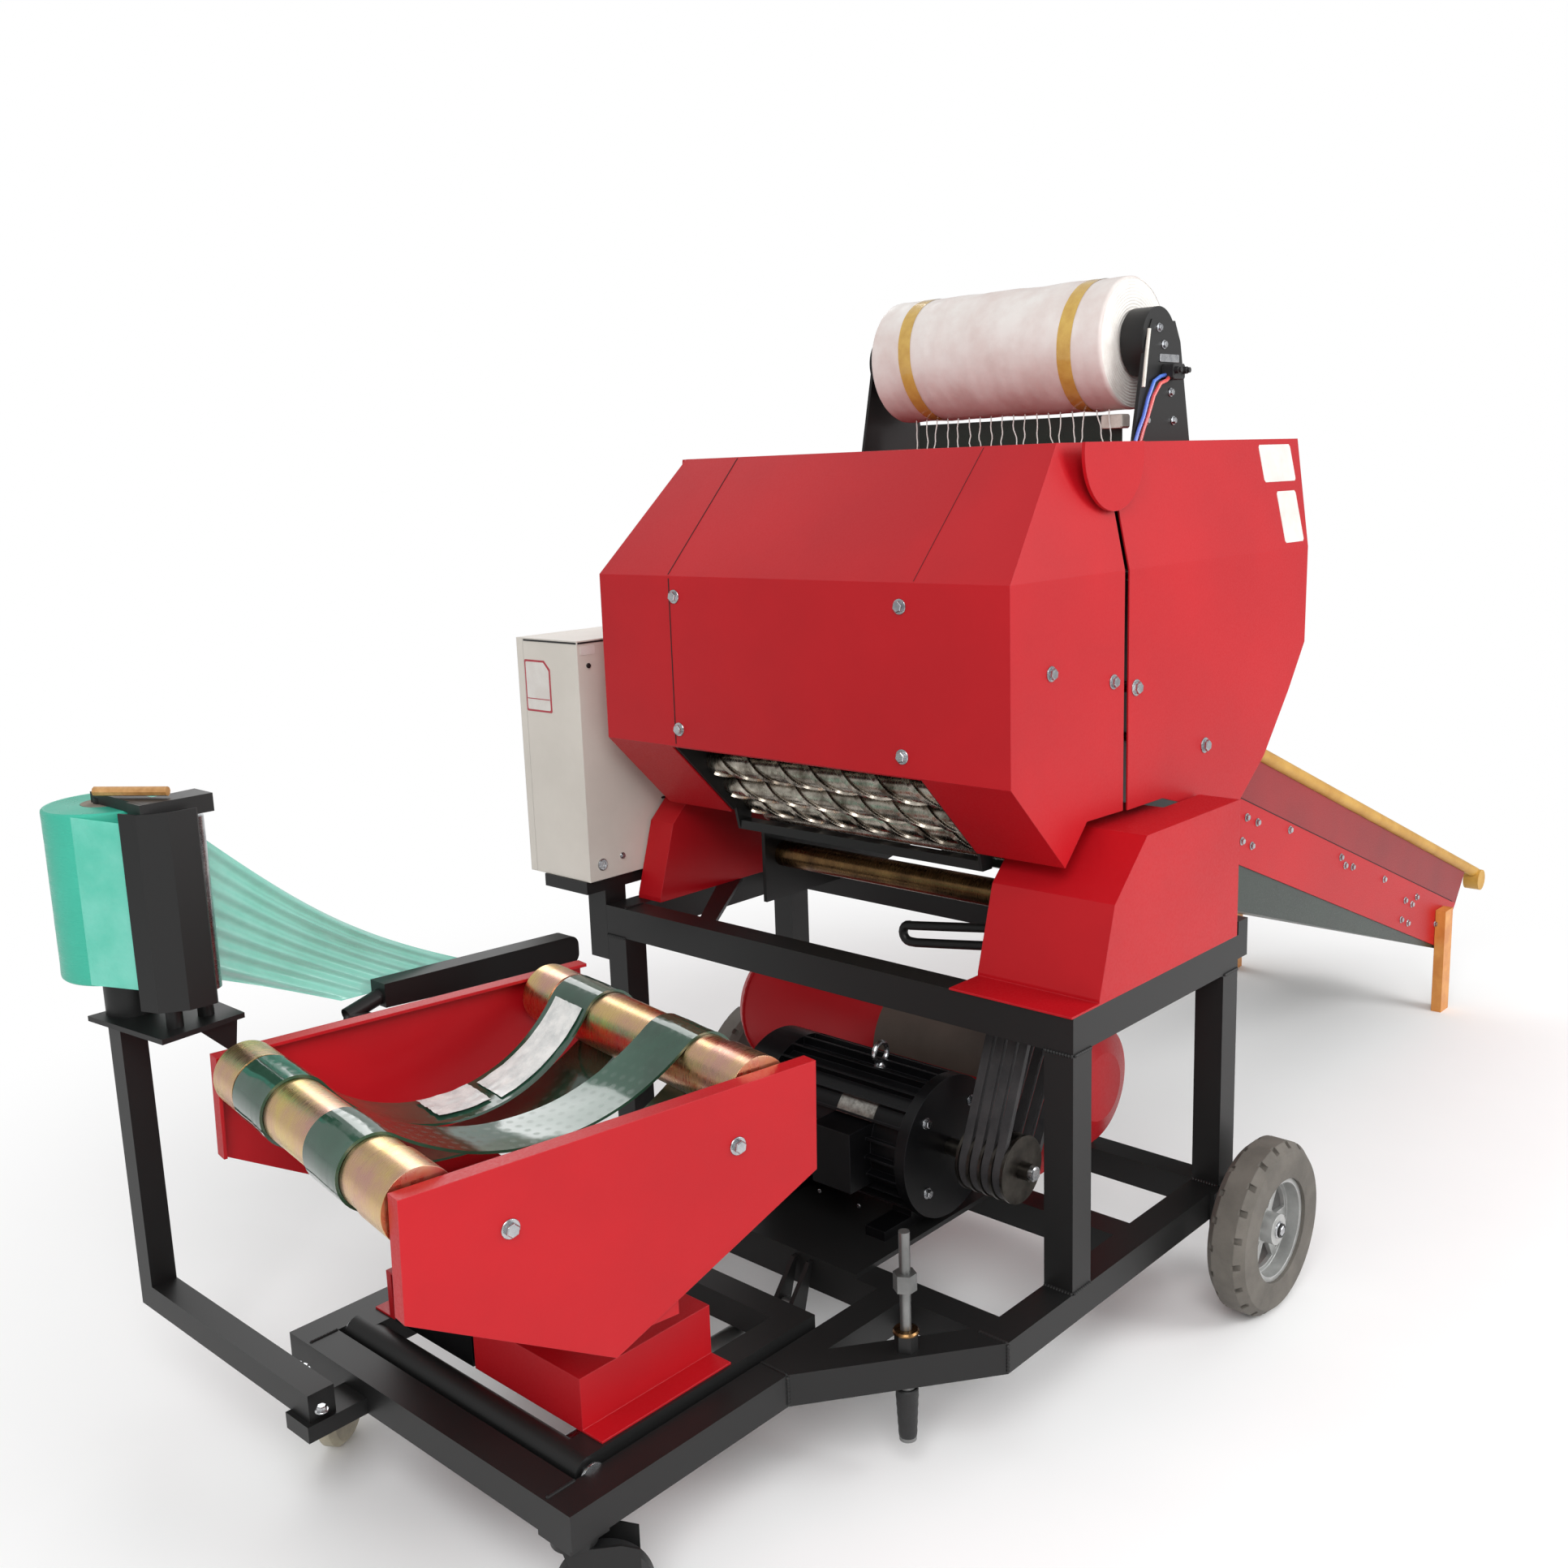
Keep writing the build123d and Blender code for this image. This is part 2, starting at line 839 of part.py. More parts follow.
def grooved_pulley(x, z, radius):
    """A pulley with one groove for each belt, whose flanges stand proud of the belts."""
    rod_y(x, z, radius - belt_height, -belt_end, -belt_inner_y)
    for index in range(belt_count + 1):
        y = -belt_inner_y - index * belt_pitch
        rod_y(x, z, radius + pulley_flange / 2, y - pulley_flange / 2, y + pulley_flange / 2)


with BuildPart() as drive_pulleys:
    grooved_pulley(motor_x, motor_z, motor_pulley_radius)
    rod_y(motor_x, motor_z, shaft_radius, -belt_end - belt_pitch, motor_front - seat)
    grooved_pulley(discharge_x, discharge_z, main_pulley_radius)
    rod_y(discharge_x, discharge_z, shaft_radius, -belt_end - belt_pitch, -fixed_inner - chamber_side - seat)
drive_pulleys.part.label = "drive_pulleys"


def belt_outline(outer):
    """A closed face round both pulleys, in its own sketch."""
    dx, dz = discharge_x - motor_x, discharge_z - motor_z
    span = hypot(dx, dz)
    big, small = main_pulley_radius - belt_height + outer, motor_pulley_radius - belt_height + outer
    lean = atan2(big - small, span)
    along = atan2(dz, dx)
    ends = []
    for turn in (1, -1):
        angle = along + turn * (pi / 2 + lean)
        ends.append((motor_x + small * cos(angle), motor_z + small * sin(angle)))
        ends.append((discharge_x + big * cos(angle), discharge_z + big * sin(angle)))
    far = (discharge_x + big * cos(along), discharge_z + big * sin(along))
    near = (motor_x - small * cos(along), motor_z - small * sin(along))
    with BuildSketch(Plane.XZ) as loop:
        with BuildLine():
            Line(ends[0], ends[1])
            ThreePointArc(ends[1], far, ends[3])
            Line(ends[3], ends[2])
            ThreePointArc(ends[2], near, ends[0])
        make_face()
    return loop.sketch


belt_ring = belt_outline(belt_height - seat) - belt_outline(seat)
with BuildPart() as drive_belts:
    for index in range(belt_count):
        y = -belt_inner_y - (index + 1 / 2) * belt_pitch + belt_width / 2
        extrude(Pos(0, y, 0) * belt_ring, amount=belt_width)
drive_belts.part.label = "drive_belts"

# Net roll above the hood, between two brackets with hub discs
net_spindle = net_core_radius / 2
with BuildPart() as net_roll:
    rod_y(net_x, net_z, net_radius, -net_half, net_half)
    rod_y(net_x, net_z, net_spindle, -bracket_y + seat, bracket_y - seat)
net_roll.part.label = "net_roll"

with BuildPart() as net_brackets:
    middle = net_x + bracket_shift
    for side in sides:
        with BuildSketch(Plane.XZ.offset(-side * bracket_y)) as tapered:
            with BuildLine():
                Polyline(
                    (middle - bracket_foot / 2, hood_top),
                    (middle + bracket_foot / 2, hood_top),
                    (middle + bracket_head / 2, net_z),
                    (middle + bracket_head / 3, net_z + bracket_rise),
                    (middle - bracket_head / 3, net_z + bracket_rise),
                    (middle - bracket_head / 2, net_z),
                    close=True,
                )
            make_face()
        extrude(tapered.sketch, amount=-side * bracket_sheet)
        rod_y(net_x, net_z, net_disc_radius, *mirrored((net_half + running, bracket_y + plate / 2), side))
        bore_span = mirrored((net_half, bracket_y), side)
        rod_y(net_x, net_z, net_spindle + pin_gap, *bore_span, mode=Mode.SUBTRACT)
net_brackets.part.label = "net_brackets"

# Control cabinet with its door on the outer side, on a tray beyond the frame
cabinet_rear = cabinet_x + cabinet_length
cabinet_outer = cabinet_y + cabinet_depth
cabinet_top = cabinet_z + cabinet_height
with BuildPart() as cabinet:
    block((cabinet_x, cabinet_rear), (cabinet_y, cabinet_outer), (cabinet_z, cabinet_top))
    offset(amount=-cabinet_sheet, openings=cabinet.faces().sort_by(Axis.Y)[-1])
cabinet.part.label = "cabinet"

door_low = cabinet_outer + seat * 2
with BuildPart() as cabinet_door:
    block((cabinet_x, cabinet_rear), (door_low, door_low + door_depth), (cabinet_z, cabinet_top))
    offset(amount=-cabinet_sheet, openings=cabinet_door.faces().sort_by(Axis.Y)[0])
cabinet_door.part.label = "cabinet_door"

with BuildPart() as cabinet_bracket:
    block((cabinet_x - sheet, cabinet_rear), (half_width + seat, cabinet_outer - tube / 2),
          (cabinet_z - 3 * plate, cabinet_z - seat))
    block((0, tube), (half_width + seat, half_width + tube), (upper_low - tube, cabinet_z - 3 * plate))
cabinet_bracket.part.label = "cabinet_bracket"

# Feed conveyor, built along its own slope
slope = radians(conveyor_slope_degrees)
run = Plane(
    origin=(conveyor_top[0], 0, conveyor_top[1]),
    x_dir=(cos(slope), 0, -sin(slope)),
    z_dir=(0, -1, 0),
)


def slope_prism(points, y_low, y_high, mode=Mode.ADD):
    """An outline drawn along the conveyor's slope, made solid between two places along Y."""
    with BuildSketch(run.offset(-y_high)) as profile:
        with BuildLine():
            Polyline(*points, close=True)
        make_face()
    extrude(profile.sketch, amount=y_high - y_low, mode=mode)


def slope_rod(along, up, radius, y_low, y_high, mode=Mode.ADD):
    """A round bar across the conveyor."""
    with BuildSketch(run.offset(-y_high)) as profile:
        with Locations((along, up)):
            Circle(radius)
    extrude(profile.sketch, amount=y_high - y_low, mode=mode)


side_top = conveyor_side
drum_low = conveyor_side - conveyor_drum_radius - conveyor_gap - 2 * conveyor_belt_sheet
drum_inset = conveyor_drum_radius + 2 * conveyor_gap
with BuildPart() as conveyor_frame:
    for side in sides:
        slope_prism(
            [(0, 0), (conveyor_length - tube / 2, 0), (conveyor_length + tube / 2, side_top), (0, side_top)],
            *mirrored((conveyor_half - sheet, conveyor_half), side),
        )
    for share in (1 / 6, 1 / 2, 5 / 6):
        middle = share * conveyor_length
        slope_prism(
            [
                (middle - tube / 2, drum_low - plate),
                (middle + tube / 2, drum_low - plate),
                (middle + tube / 2, drum_low + plate),
                (middle - tube / 2, drum_low + plate),
            ],
            sheet - conveyor_half,
            conveyor_half - sheet,
        )
conveyor_frame.part.label = "conveyor_frame"

hopper_top = side_top + hopper_side
with BuildPart() as conveyor_hopper:
    for side in sides:
        slope_prism(
            [
                (0, side_top + seat),
                (conveyor_length + tube / 2, side_top + seat),
                (conveyor_length + tube, hopper_top),
                (0, hopper_top),
            ],
            *mirrored((conveyor_half - sheet, conveyor_half), side),
        )
conveyor_hopper.part.label = "conveyor_hopper"

tube_level = hopper_top + edge_tube_radius + seat
tube_end = conveyor_length + edge_tube_reach
with BuildPart() as edge_tubes:
    for side in sides:
        end_plane = Plane(
            origin=run.from_local_coords((2 * tube, tube_level, -side * (conveyor_half - sheet / 2))),
            z_dir=run.x_dir,
        )
        with BuildSketch(end_plane) as ring:
            Circle(edge_tube_radius)
        extrude(ring.sketch, amount=tube_end - 2 * tube)
        knob_outer = conveyor_half - sheet / 2 + end_knob_width / 2
        knob_span = mirrored((knob_outer - end_knob_width, knob_outer), side)
        slope_rod(tube_end, tube_level - end_knob_drop / 2, end_knob_radius, *knob_span)
edge_tubes.part.label = "edge_tubes"

belt_half = conveyor_half - sheet - running
with BuildPart() as conveyor_rollers:
    for along in (drum_inset, conveyor_length - drum_inset):
        slope_rod(along, drum_low, conveyor_drum_radius, -belt_half, belt_half)
        slope_rod(along, drum_low, shaft_radius, -conveyor_half + sheet + seat, conveyor_half - sheet - seat)
conveyor_rollers.part.label = "conveyor_rollers"


def belt_slot(radius):
    """The outline of the conveyor's belt loop at a distance from the drums' centres."""
    with BuildSketch(run) as loop:
        with Locations((conveyor_length / 2, drum_low)):
            SlotCenterToCenter(conveyor_length - 2 * drum_inset, 2 * radius)
    return loop.sketch


loop_inner = conveyor_drum_radius + seat
loop_ring = belt_slot(loop_inner + conveyor_belt_sheet) - belt_slot(loop_inner)
with BuildPart() as conveyor_belt:
    extrude(Pos(0, belt_half, 0) * loop_ring, amount=2 * belt_half)
conveyor_belt.part.label = "conveyor_belt"

# Pan under the belt that catches loose straw
pan_half = conveyor_half - sheet - seat
pan_end = conveyor_length - tube
pan_lip = drum_low - loop_inner - conveyor_belt_sheet - running
with BuildPart() as conveyor_pan:
    slope_prism(
        [(pan_start, pan_lip), (pan_start, -pan_depth), (pan_end, -pan_end_depth), (pan_end, pan_lip)],
        -pan_half,
        pan_half,
    )
    pan_open = conveyor_pan.faces().sort_by(Axis((0, 0, 0), run.y_dir))[-1]
    offset(amount=-pan_sheet, openings=[pan_open])
conveyor_pan.part.label = "conveyor_pan"

with BuildPart() as conveyor_legs:
    for side in sides:
        block(
            (leg_x - leg_width / 2, leg_x + leg_width / 2),
            mirrored((conveyor_half + seat, conveyor_half + seat + leg_depth), side),
            (0, leg_height),
        )
conveyor_legs.part.label = "conveyor_legs"

# Wrapping table: tilting frame, base, turntable with two rollers and two belts
tilt_half = half_narrow - tube - tilt_gap
tilt_low = tilt_z - tilt_tube_radius
tilt_high = tilt_low + tilt_rail
with BuildPart() as tilt_frame:
    rod_y(tilt_x, tilt_z, tilt_tube_radius, -tilt_half, tilt_half)
    for side in sides:
        block((tilt_x, tilt_rear), mirrored((tilt_half - tilt_rail, tilt_half), side), (tilt_low, tilt_high))
    block((tilt_rear - tilt_rail, tilt_rear), (-tilt_half, tilt_half), (tilt_low, tilt_high))
    for side in sides:
        bore_span = mirrored((tilt_half - tilt_pin_reach - pin_gap, tilt_half), side)
        rod_y(tilt_x, tilt_z, tilt_pin_radius + pin_gap, *bore_span, mode=Mode.SUBTRACT)
        inner = eye_width / 2 + ear_gap
        outline_prism(
            [
                (cylinder_eye[0] - eye_radius, tilt_z),
                (cylinder_eye[0] - eye_radius, cylinder_eye[1] - eye_radius),
                (cylinder_eye[0] + eye_radius, cylinder_eye[1] - eye_radius),
                (cylinder_eye[0] + eye_radius, tilt_z),
            ],
            cylinder_y + side * (inner + plate / 2) - plate / 2,
            cylinder_y + side * (inner + plate / 2) + plate / 2,
        )
tilt_frame.part.label = "tilt_frame"

with BuildPart() as tilt_pins:
    for side in sides:
        rail_face = half_narrow - tube
        rod_y(tilt_x, tilt_z, tilt_pin_radius, *mirrored((tilt_half - tilt_pin_reach, rail_face), side))
        boss_span = mirrored((tilt_half + running, rail_face), side)
        rod_y(tilt_x, tilt_z - tilt_pin_radius / 2, tilt_pin_radius * 2, *boss_span)
tilt_pins.part.label = "tilt_pins"

hat_low = tilt_high
hat_half = tilt_half - hat_edge_gap - hat_flange
hat_gap_far = hat_half - hat_corner
with BuildPart() as table_base:
    section_prism(
        [
            (-hat_half - hat_flange, hat_low),
            (-hat_half - hat_flange, hat_low + sheet),
            (-hat_half, hat_low + sheet),
            (-hat_half, hat_top),
            (hat_half, hat_top),
            (hat_half, hat_low + sheet),
            (hat_half + hat_flange, hat_low + sheet),
            (hat_half + hat_flange, hat_low),
            (hat_half - sheet, hat_low),
            (hat_half - sheet, hat_top - sheet),
            (sheet - hat_half, hat_top - sheet),
            (sheet - hat_half, hat_low),
        ],
        hat_front,
        hat_rear,
    )
    for side in sides:
        block((hat_rear - sheet, hat_rear), mirrored((tube, hat_half), side), (hat_low, hat_top))
    for y_low, y_high in ((-hat_half, hat_gap_near), (hat_gap_far, hat_half)):
        block((hat_front, hat_front + sheet), (y_low, y_high), (hat_low, hat_top))
table_base.part.label = "table_base"

beam_low = min(z for x, z in table_outline)
with BuildPart() as table_drive:
    rod_z(table_x, 0, turn_radius, hat_top, beam_low - hub_height / 2)
    drive_top = hat_top - sheet - seat
    block((hat_front + plate, table_x + tube), (-tube + running, tube - running), (tilt_high, drive_top))
    bearing_span = (hat_gap_near + running, hat_gap_far - running)
    block((hat_front, hat_front + plate), bearing_span, (tilt_high, drive_top))
table_drive.part.label = "table_drive"

# The turntable, its rollers and its belts are drawn about the table's centre, and then
# turned and moved to where the table stands
table_inner = table_half - table_sheet
table_top = table_outline[0][1]
flange_inner = table_inner - table_flange
with BuildPart() as turntable:
    for side in sides:
        outline_prism(table_outline, *mirrored((table_inner, table_half), side))
        block(
            (table_outline[0][0], table_outline[1][0]),
            mirrored((flange_inner, table_inner), side),
            (table_top - table_sheet, table_top),
        )
        outline_prism(
            [
                table_outline[0],
                (table_outline[0][0] + table_sheet, table_top),
                (table_outline[4][0] + table_sheet, table_outline[4][1]),
                table_outline[4],
            ],
            *mirrored((flange_inner, table_inner), side),
        )
    block(
        (-beam_width / 2, beam_width / 2),
        (-table_inner, table_inner),
        (beam_low + beam_rise, beam_low + beam_rise + beam_height),
    )
    rod_z(0, 0, turn_radius - running, beam_low - hub_height / 2 + seat, beam_low + beam_rise)

roller_half = flange_inner - running
with BuildPart() as wrap_rollers:
    for place in (roller_front, roller_rear):
        rod_y(*place, wrap_roller_radius, -roller_half, roller_half)
        rod_y(*place, wrap_spindle_radius, seat - table_inner, table_inner - seat)
        for side in sides:
            collar_span = mirrored((roller_half - wrap_collar_width, roller_half), side)
            rod_y(*place, wrap_roller_radius + wrap_collar, *collar_span)


def belt_run(radius, top_centre):
    """The closed outline of a slack belt round both rollers, at a distance from their centres.

    The upper run sags into a cradle and the lower run hangs. Each leaves the rollers on a tangent.
    The nearer the centre of the upper run's arc is to the rollers, the deeper that run sags.
    """
    middle = ((roller_front[0] + roller_rear[0]) / 2, (roller_front[1] + roller_rear[1]) / 2)
    span = hypot(roller_rear[0] - roller_front[0], roller_rear[1] - roller_front[1])
    up = ((roller_front[1] - roller_rear[1]) / span, (roller_rear[0] - roller_front[0]) / span)
    ends = {}
    deepest = {}
    for run_name, height, turn in (("top", top_centre, 1), ("low", wrap_low_centre, -1)):
        centre = (middle[0] + height * up[0], middle[1] + height * up[1])
        away = hypot(span / 2, height)
        depth = away - turn * radius
        deepest[run_name] = (centre[0] - depth * up[0], centre[1] - depth * up[1])
        for roller_name, roller in (("front", roller_front), ("rear", roller_rear)):
            share = turn * radius / away
            ends[run_name, roller_name] = (
                roller[0] + (centre[0] - roller[0]) * share,
                roller[1] + (centre[1] - roller[1]) * share,
            )
    with BuildSketch(Plane.XZ) as loop:
        with BuildLine():
            ThreePointArc(ends["top", "front"], deepest["top"], ends["top", "rear"])
            rear_turn = (roller_rear[0] + radius, roller_rear[1])
            ThreePointArc(ends["top", "rear"], rear_turn, ends["low", "rear"])
            ThreePointArc(ends["low", "rear"], deepest["low"], ends["low", "front"])
            front_turn = (roller_front[0] - radius, roller_front[1])
            ThreePointArc(ends["low", "front"], front_turn, ends["top", "front"])
        make_face()
    return loop.sketch


inner_belt = wrap_roller_radius + seat
with BuildPart() as wrap_belts:
    for place, top_centre in wrap_belt_places:
        belt_loop = belt_run(inner_belt + wrap_belt_sheet, top_centre) - belt_run(inner_belt, top_centre)
        extrude(Pos(0, place + wrap_belt_width / 2, 0) * belt_loop, amount=wrap_belt_width)

table_place = Location((table_x, 0, 0), (0, 0, -table_turn_degrees))
turned_table = turntable.part.moved(table_place)
turned_rollers = wrap_rollers.part.moved(table_place)
turned_belts = wrap_belts.part.moved(table_place)

# Cylinder that tips the table
reach = hypot(cylinder_eye[0] - cylinder_foot[0], cylinder_eye[1] - cylinder_foot[1])
lean_x = (cylinder_eye[0] - cylinder_foot[0]) / reach
lean_z = (cylinder_eye[1] - cylinder_foot[1]) / reach
push = Plane(
    origin=(cylinder_foot[0], cylinder_y, cylinder_foot[1]),
    x_dir=(0, 1, 0),
    z_dir=(lean_x, 0, lean_z),
)


def cylinder_bar(radius, start, end, mode=Mode.ADD):
    """A round bar along the cylinder's axis."""
    with BuildSketch(push.offset(start)) as profile:
        Circle(radius)
    extrude(profile.sketch, amount=end - start, mode=mode)


barrel_start = eye_radius
with BuildPart() as cylinder_barrel:
    cylinder_bar(barrel_radius, barrel_start + eye_radius, barrel_start + barrel_length)
    cylinder_bar(eye_width / 2, 0, barrel_start + eye_radius)
    rod_y(*cylinder_foot, eye_radius, cylinder_y - eye_width / 2, cylinder_y + eye_width / 2)
    rod_y(
        *cylinder_foot,
        eye_bore + pin_gap,
        cylinder_y - eye_width,
        cylinder_y + eye_width,
        mode=Mode.SUBTRACT,
    )
    cylinder_bar(
        rod_radius + pin_gap,
        barrel_start + 2 * eye_radius,
        barrel_start + barrel_length + seat,
        mode=Mode.SUBTRACT,
    )
cylinder_barrel.part.label = "cylinder_barrel"

with BuildPart() as cylinder_rod:
    cylinder_bar(rod_radius, barrel_start + rod_overlap, reach)
    rod_y(*cylinder_eye, eye_radius, cylinder_y - eye_width / 2, cylinder_y + eye_width / 2)
    rod_y(*cylinder_eye, eye_bore, cylinder_y - eye_width, cylinder_y + eye_width, mode=Mode.SUBTRACT)
cylinder_rod.part.label = "cylinder_rod"

with BuildPart() as cylinder_foot_lugs:
    for side in sides:
        inner = eye_width / 2 + ear_gap / 2
        outline_prism(
            [
                (cylinder_foot[0] - eye_radius, cylinder_foot[1] - eye_radius),
                (cylinder_foot[0] + eye_radius, cylinder_foot[1] - eye_radius),
                (cross_front - tube / 2, lower_top - seat),
                (cross_front - tube / 2 - plate, lower_top - seat),
                (cylinder_foot[0] - eye_radius, cylinder_foot[1] + eye_radius),
            ],
            cylinder_y + side * (inner + plate / 2) - plate / 2,
            cylinder_y + side * (inner + plate / 2) + plate / 2,
        )
    bolt_half = eye_width / 2 + ear_gap
    rod_y(*cylinder_foot, eye_bore, cylinder_y - bolt_half, cylinder_y + bolt_half)
cylinder_foot_lugs.part.label = "cylinder_lugs"

# Film holder beside the table
arm_half = post_tube / 2
with BuildPart() as film_arm:
    arm_span = (arm_z - arm_half, arm_z + arm_half)
    block((post_x - arm_half, post_x + arm_half), (arm_start, post_y + arm_half), arm_span)
    block((post_x - arm_half, post_x + arm_half), (post_y - arm_half, post_y + arm_half), (arm_z, post_top))
    block(
        (post_x - arm_half - plate, frame_front),
        (arm_start - plate, arm_start + tube),
        (lower_low, arm_z - arm_half),
    )
film_arm.part.label = "film_arm"

holder_low = post_top
roll_foot = film_z - seat
with BuildPart() as film_holder:
    with BuildSketch(Plane.XY.offset(holder_low)):
        with BuildLine():
            Polyline(
                (post_x - post_tube, post_y + post_tube),
                (post_x + post_tube, post_y + post_tube),
                (stretch_places[1][0] + post_tube, stretch_places[1][1] + post_tube),
                (stretch_places[1][0] + post_tube, stretch_places[1][1] - post_tube),
                (stretch_places[0][0] - post_tube, stretch_places[0][1] - post_tube),
                close=True,
            )
        make_face()
    extrude(amount=holder_plate)
    rod_z(film_x, film_y, film_core_radius / 2, holder_low, film_z + film_height + plate)
    rod_z(film_x, film_y, film_core_radius, holder_low, roll_foot)
    for x, y in stretch_places:
        rod_z(x, y, wrap_spindle_radius, holder_low, stretch_z + stretch_height + 2 * plate)
    head = stretch_z + stretch_height + plate
    with BuildSketch(Plane.XY.offset(head)):
        with BuildLine():
            Polyline(
                (stretch_places[0][0] - stretch_radius, stretch_places[0][1] - stretch_radius),
                (stretch_places[1][0] + stretch_radius, stretch_places[0][1] - stretch_radius),
                (stretch_places[1][0] + stretch_radius, stretch_places[1][1] + stretch_radius / 2),
                (stretch_places[0][0] - stretch_radius, stretch_places[0][1] + stretch_radius / 2),
                close=True,
            )
        make_face()
    extrude(amount=film_z + film_height + 2 * plate - head)
    with BuildSketch(Plane.XY.offset(cover_low)):
        with BuildLine():
            Polyline(*cover_points, *[(x + sheet, y + sheet) for x, y in reversed(cover_points)], close=True)
        make_face()
    extrude(amount=cover_high - cover_low)
    gusset_x = stretch_places[1][0] + post_tube
    gusset_y = stretch_places[0][1]
    outline_prism(
        [
            (gusset_x, holder_low),
            (gusset_x - gusset_reach, holder_low),
            (gusset_x - plate, holder_low - gusset_drop),
        ],
        gusset_y - sheet,
        gusset_y + sheet,
    )
    bar_low = film_z + film_height + seat
    block(
        (film_x - core_bar / 2, film_x + core_bar / 2),
        (stretch_places[0][1] - stretch_radius, film_y + core_bar / 2),
        (bar_low, bar_low + 2 * plate),
    )
film_holder.part.label = "film_holder"

with BuildPart() as film_roll:
    rod_z(film_x, film_y, film_radius, film_z, film_z + film_height)
    rod_z(
        film_x,
        film_y,
        film_core_radius / 2 + pin_gap,
        film_z - overrun,
        film_z + film_height + overrun,
        mode=Mode.SUBTRACT,
    )
film_roll.part.label = "film_roll"

stretch_parts = []
for x, y in stretch_places:
    with BuildPart() as stretch_roller:
        rod_z(x, y, stretch_radius, stretch_z, stretch_z + stretch_height)
        rod_z(
            x,
            y,
            wrap_spindle_radius + pin_gap,
            stretch_z - overrun,
            stretch_z + stretch_height + overrun,
            mode=Mode.SUBTRACT,
        )
    stretch_parts.append(stretch_roller.part)

# Film clamp on a bent stem, and the loose end of film that it holds
with BuildPart() as film_clamp:
    outline_prism(
        [
            (clamp_front[0], clamp_front[1] - clamp_half),
            (clamp_rear[0], clamp_rear[1] - clamp_rear_half),
            (clamp_rear[0], clamp_rear[1] + clamp_rear_half),
            (clamp_front[0], clamp_front[1] + clamp_half),
        ],
        clamp_y - clamp_half,
        clamp_y + clamp_half,
    )
    fillet(film_clamp.edges().filter_by(Axis.Y).sort_by(Axis.X)[-2:], radius=clamp_rear_half - plate)
    with BuildLine() as stem:
        Polyline(
            (clamp_foot_x, clamp_foot_y, lower_top),
            (clamp_foot_x, clamp_foot_y, clamp_stem_top),
            (clamp_link[0], clamp_y, clamp_link[1]),
            (clamp_front[0] + clamp_half, clamp_y, clamp_front[1]),
        )
    with BuildSketch(Plane.XY.offset(lower_top).move(Location((clamp_foot_x, clamp_foot_y, 0)))):
        Circle(clamp_stem_radius)
    sweep(path=stem.line, transition=Transition.ROUND)

clamp_run = hypot(clamp_rear[0] - clamp_front[0], clamp_rear[1] - clamp_front[1])
clamp_dir = ((clamp_rear[0] - clamp_front[0]) / clamp_run, 0, (clamp_rear[1] - clamp_front[1]) / clamp_run)
web_inner = clamp_y + clamp_half + seat
clamp_slope = clamp_dir[2] / clamp_dir[0]
web_rear_z = clamp_front[1] + (web_end_rear - clamp_front[0]) * clamp_slope
web_front_z = clamp_front[1] + (web_end_front - clamp_front[0]) * clamp_slope
web_corners = (
    (web_x, web_y - web_sheet / 2, web_low),
    (web_x, web_y - web_sheet / 2, web_high),
    (web_end_rear, web_inner, web_rear_z),
    (web_end_front, web_inner, web_front_z),
)
web_faces = []
for corners in ((0, 1, 2), (0, 2, 3)):
    with BuildLine() as rim:
        Polyline(*[web_corners[corner] for corner in corners], close=True)
    web_faces.append(Face(rim.wire()))
with BuildPart() as film_web:
    for web_face in web_faces:
        extrude(web_face, amount=web_sheet, dir=(0, 1, 0))
film_web.part.label = "film_web"

# Air tank with dished ends, on feet inside the frame
tank_shares = ((0, 0.5), (0.4, 0.86), (1, 1))
with BuildPart() as air_tank:
    with BuildSketch(Plane(origin=(tank_x, 0, tank_z), x_dir=(0, 1, 0), z_dir=(1, 0, 0))):
        with BuildLine():
            Polyline(
                (tank_right, 0),
                *[(tank_right + tank_dish * along, tank_radius * up) for along, up in tank_shares],
                *[(tank_left - tank_dish * along, tank_radius * up) for along, up in reversed(tank_shares)],
                (tank_left, 0),
                close=True,
            )
        make_face()
    revolve(axis=Axis((tank_x, 0, tank_z), (0, 1, 0)))
    for y in (tank_right + 2 * tube, tank_left - 2 * tube):
        foot_span = (lower_top + seat, tank_z - tank_radius / 2)
        block((cross_motor, frame_length - tube / 2), (y - sheet, y + sheet), foot_span)
air_tank.part.label = "air_tank"

# Jack leg through the near diagonal rail
with BuildPart() as jack_leg:
    rod_z(jack_x, jack_y, jack_radius / 2, jack_low, jack_top)
    rod_z(jack_x, jack_y, jack_foot_radius / 2, jack_low, lower_low - running)
    with BuildSketch(Plane.XY.offset(lower_top + jack_nut_height + jack_travel + 2 * running)):
        with Locations((jack_x, jack_y)):
            RegularPolygon(jack_nut_radius, 6)
    extrude(amount=jack_nut_height)
jack_leg.part.label = "jack_leg"

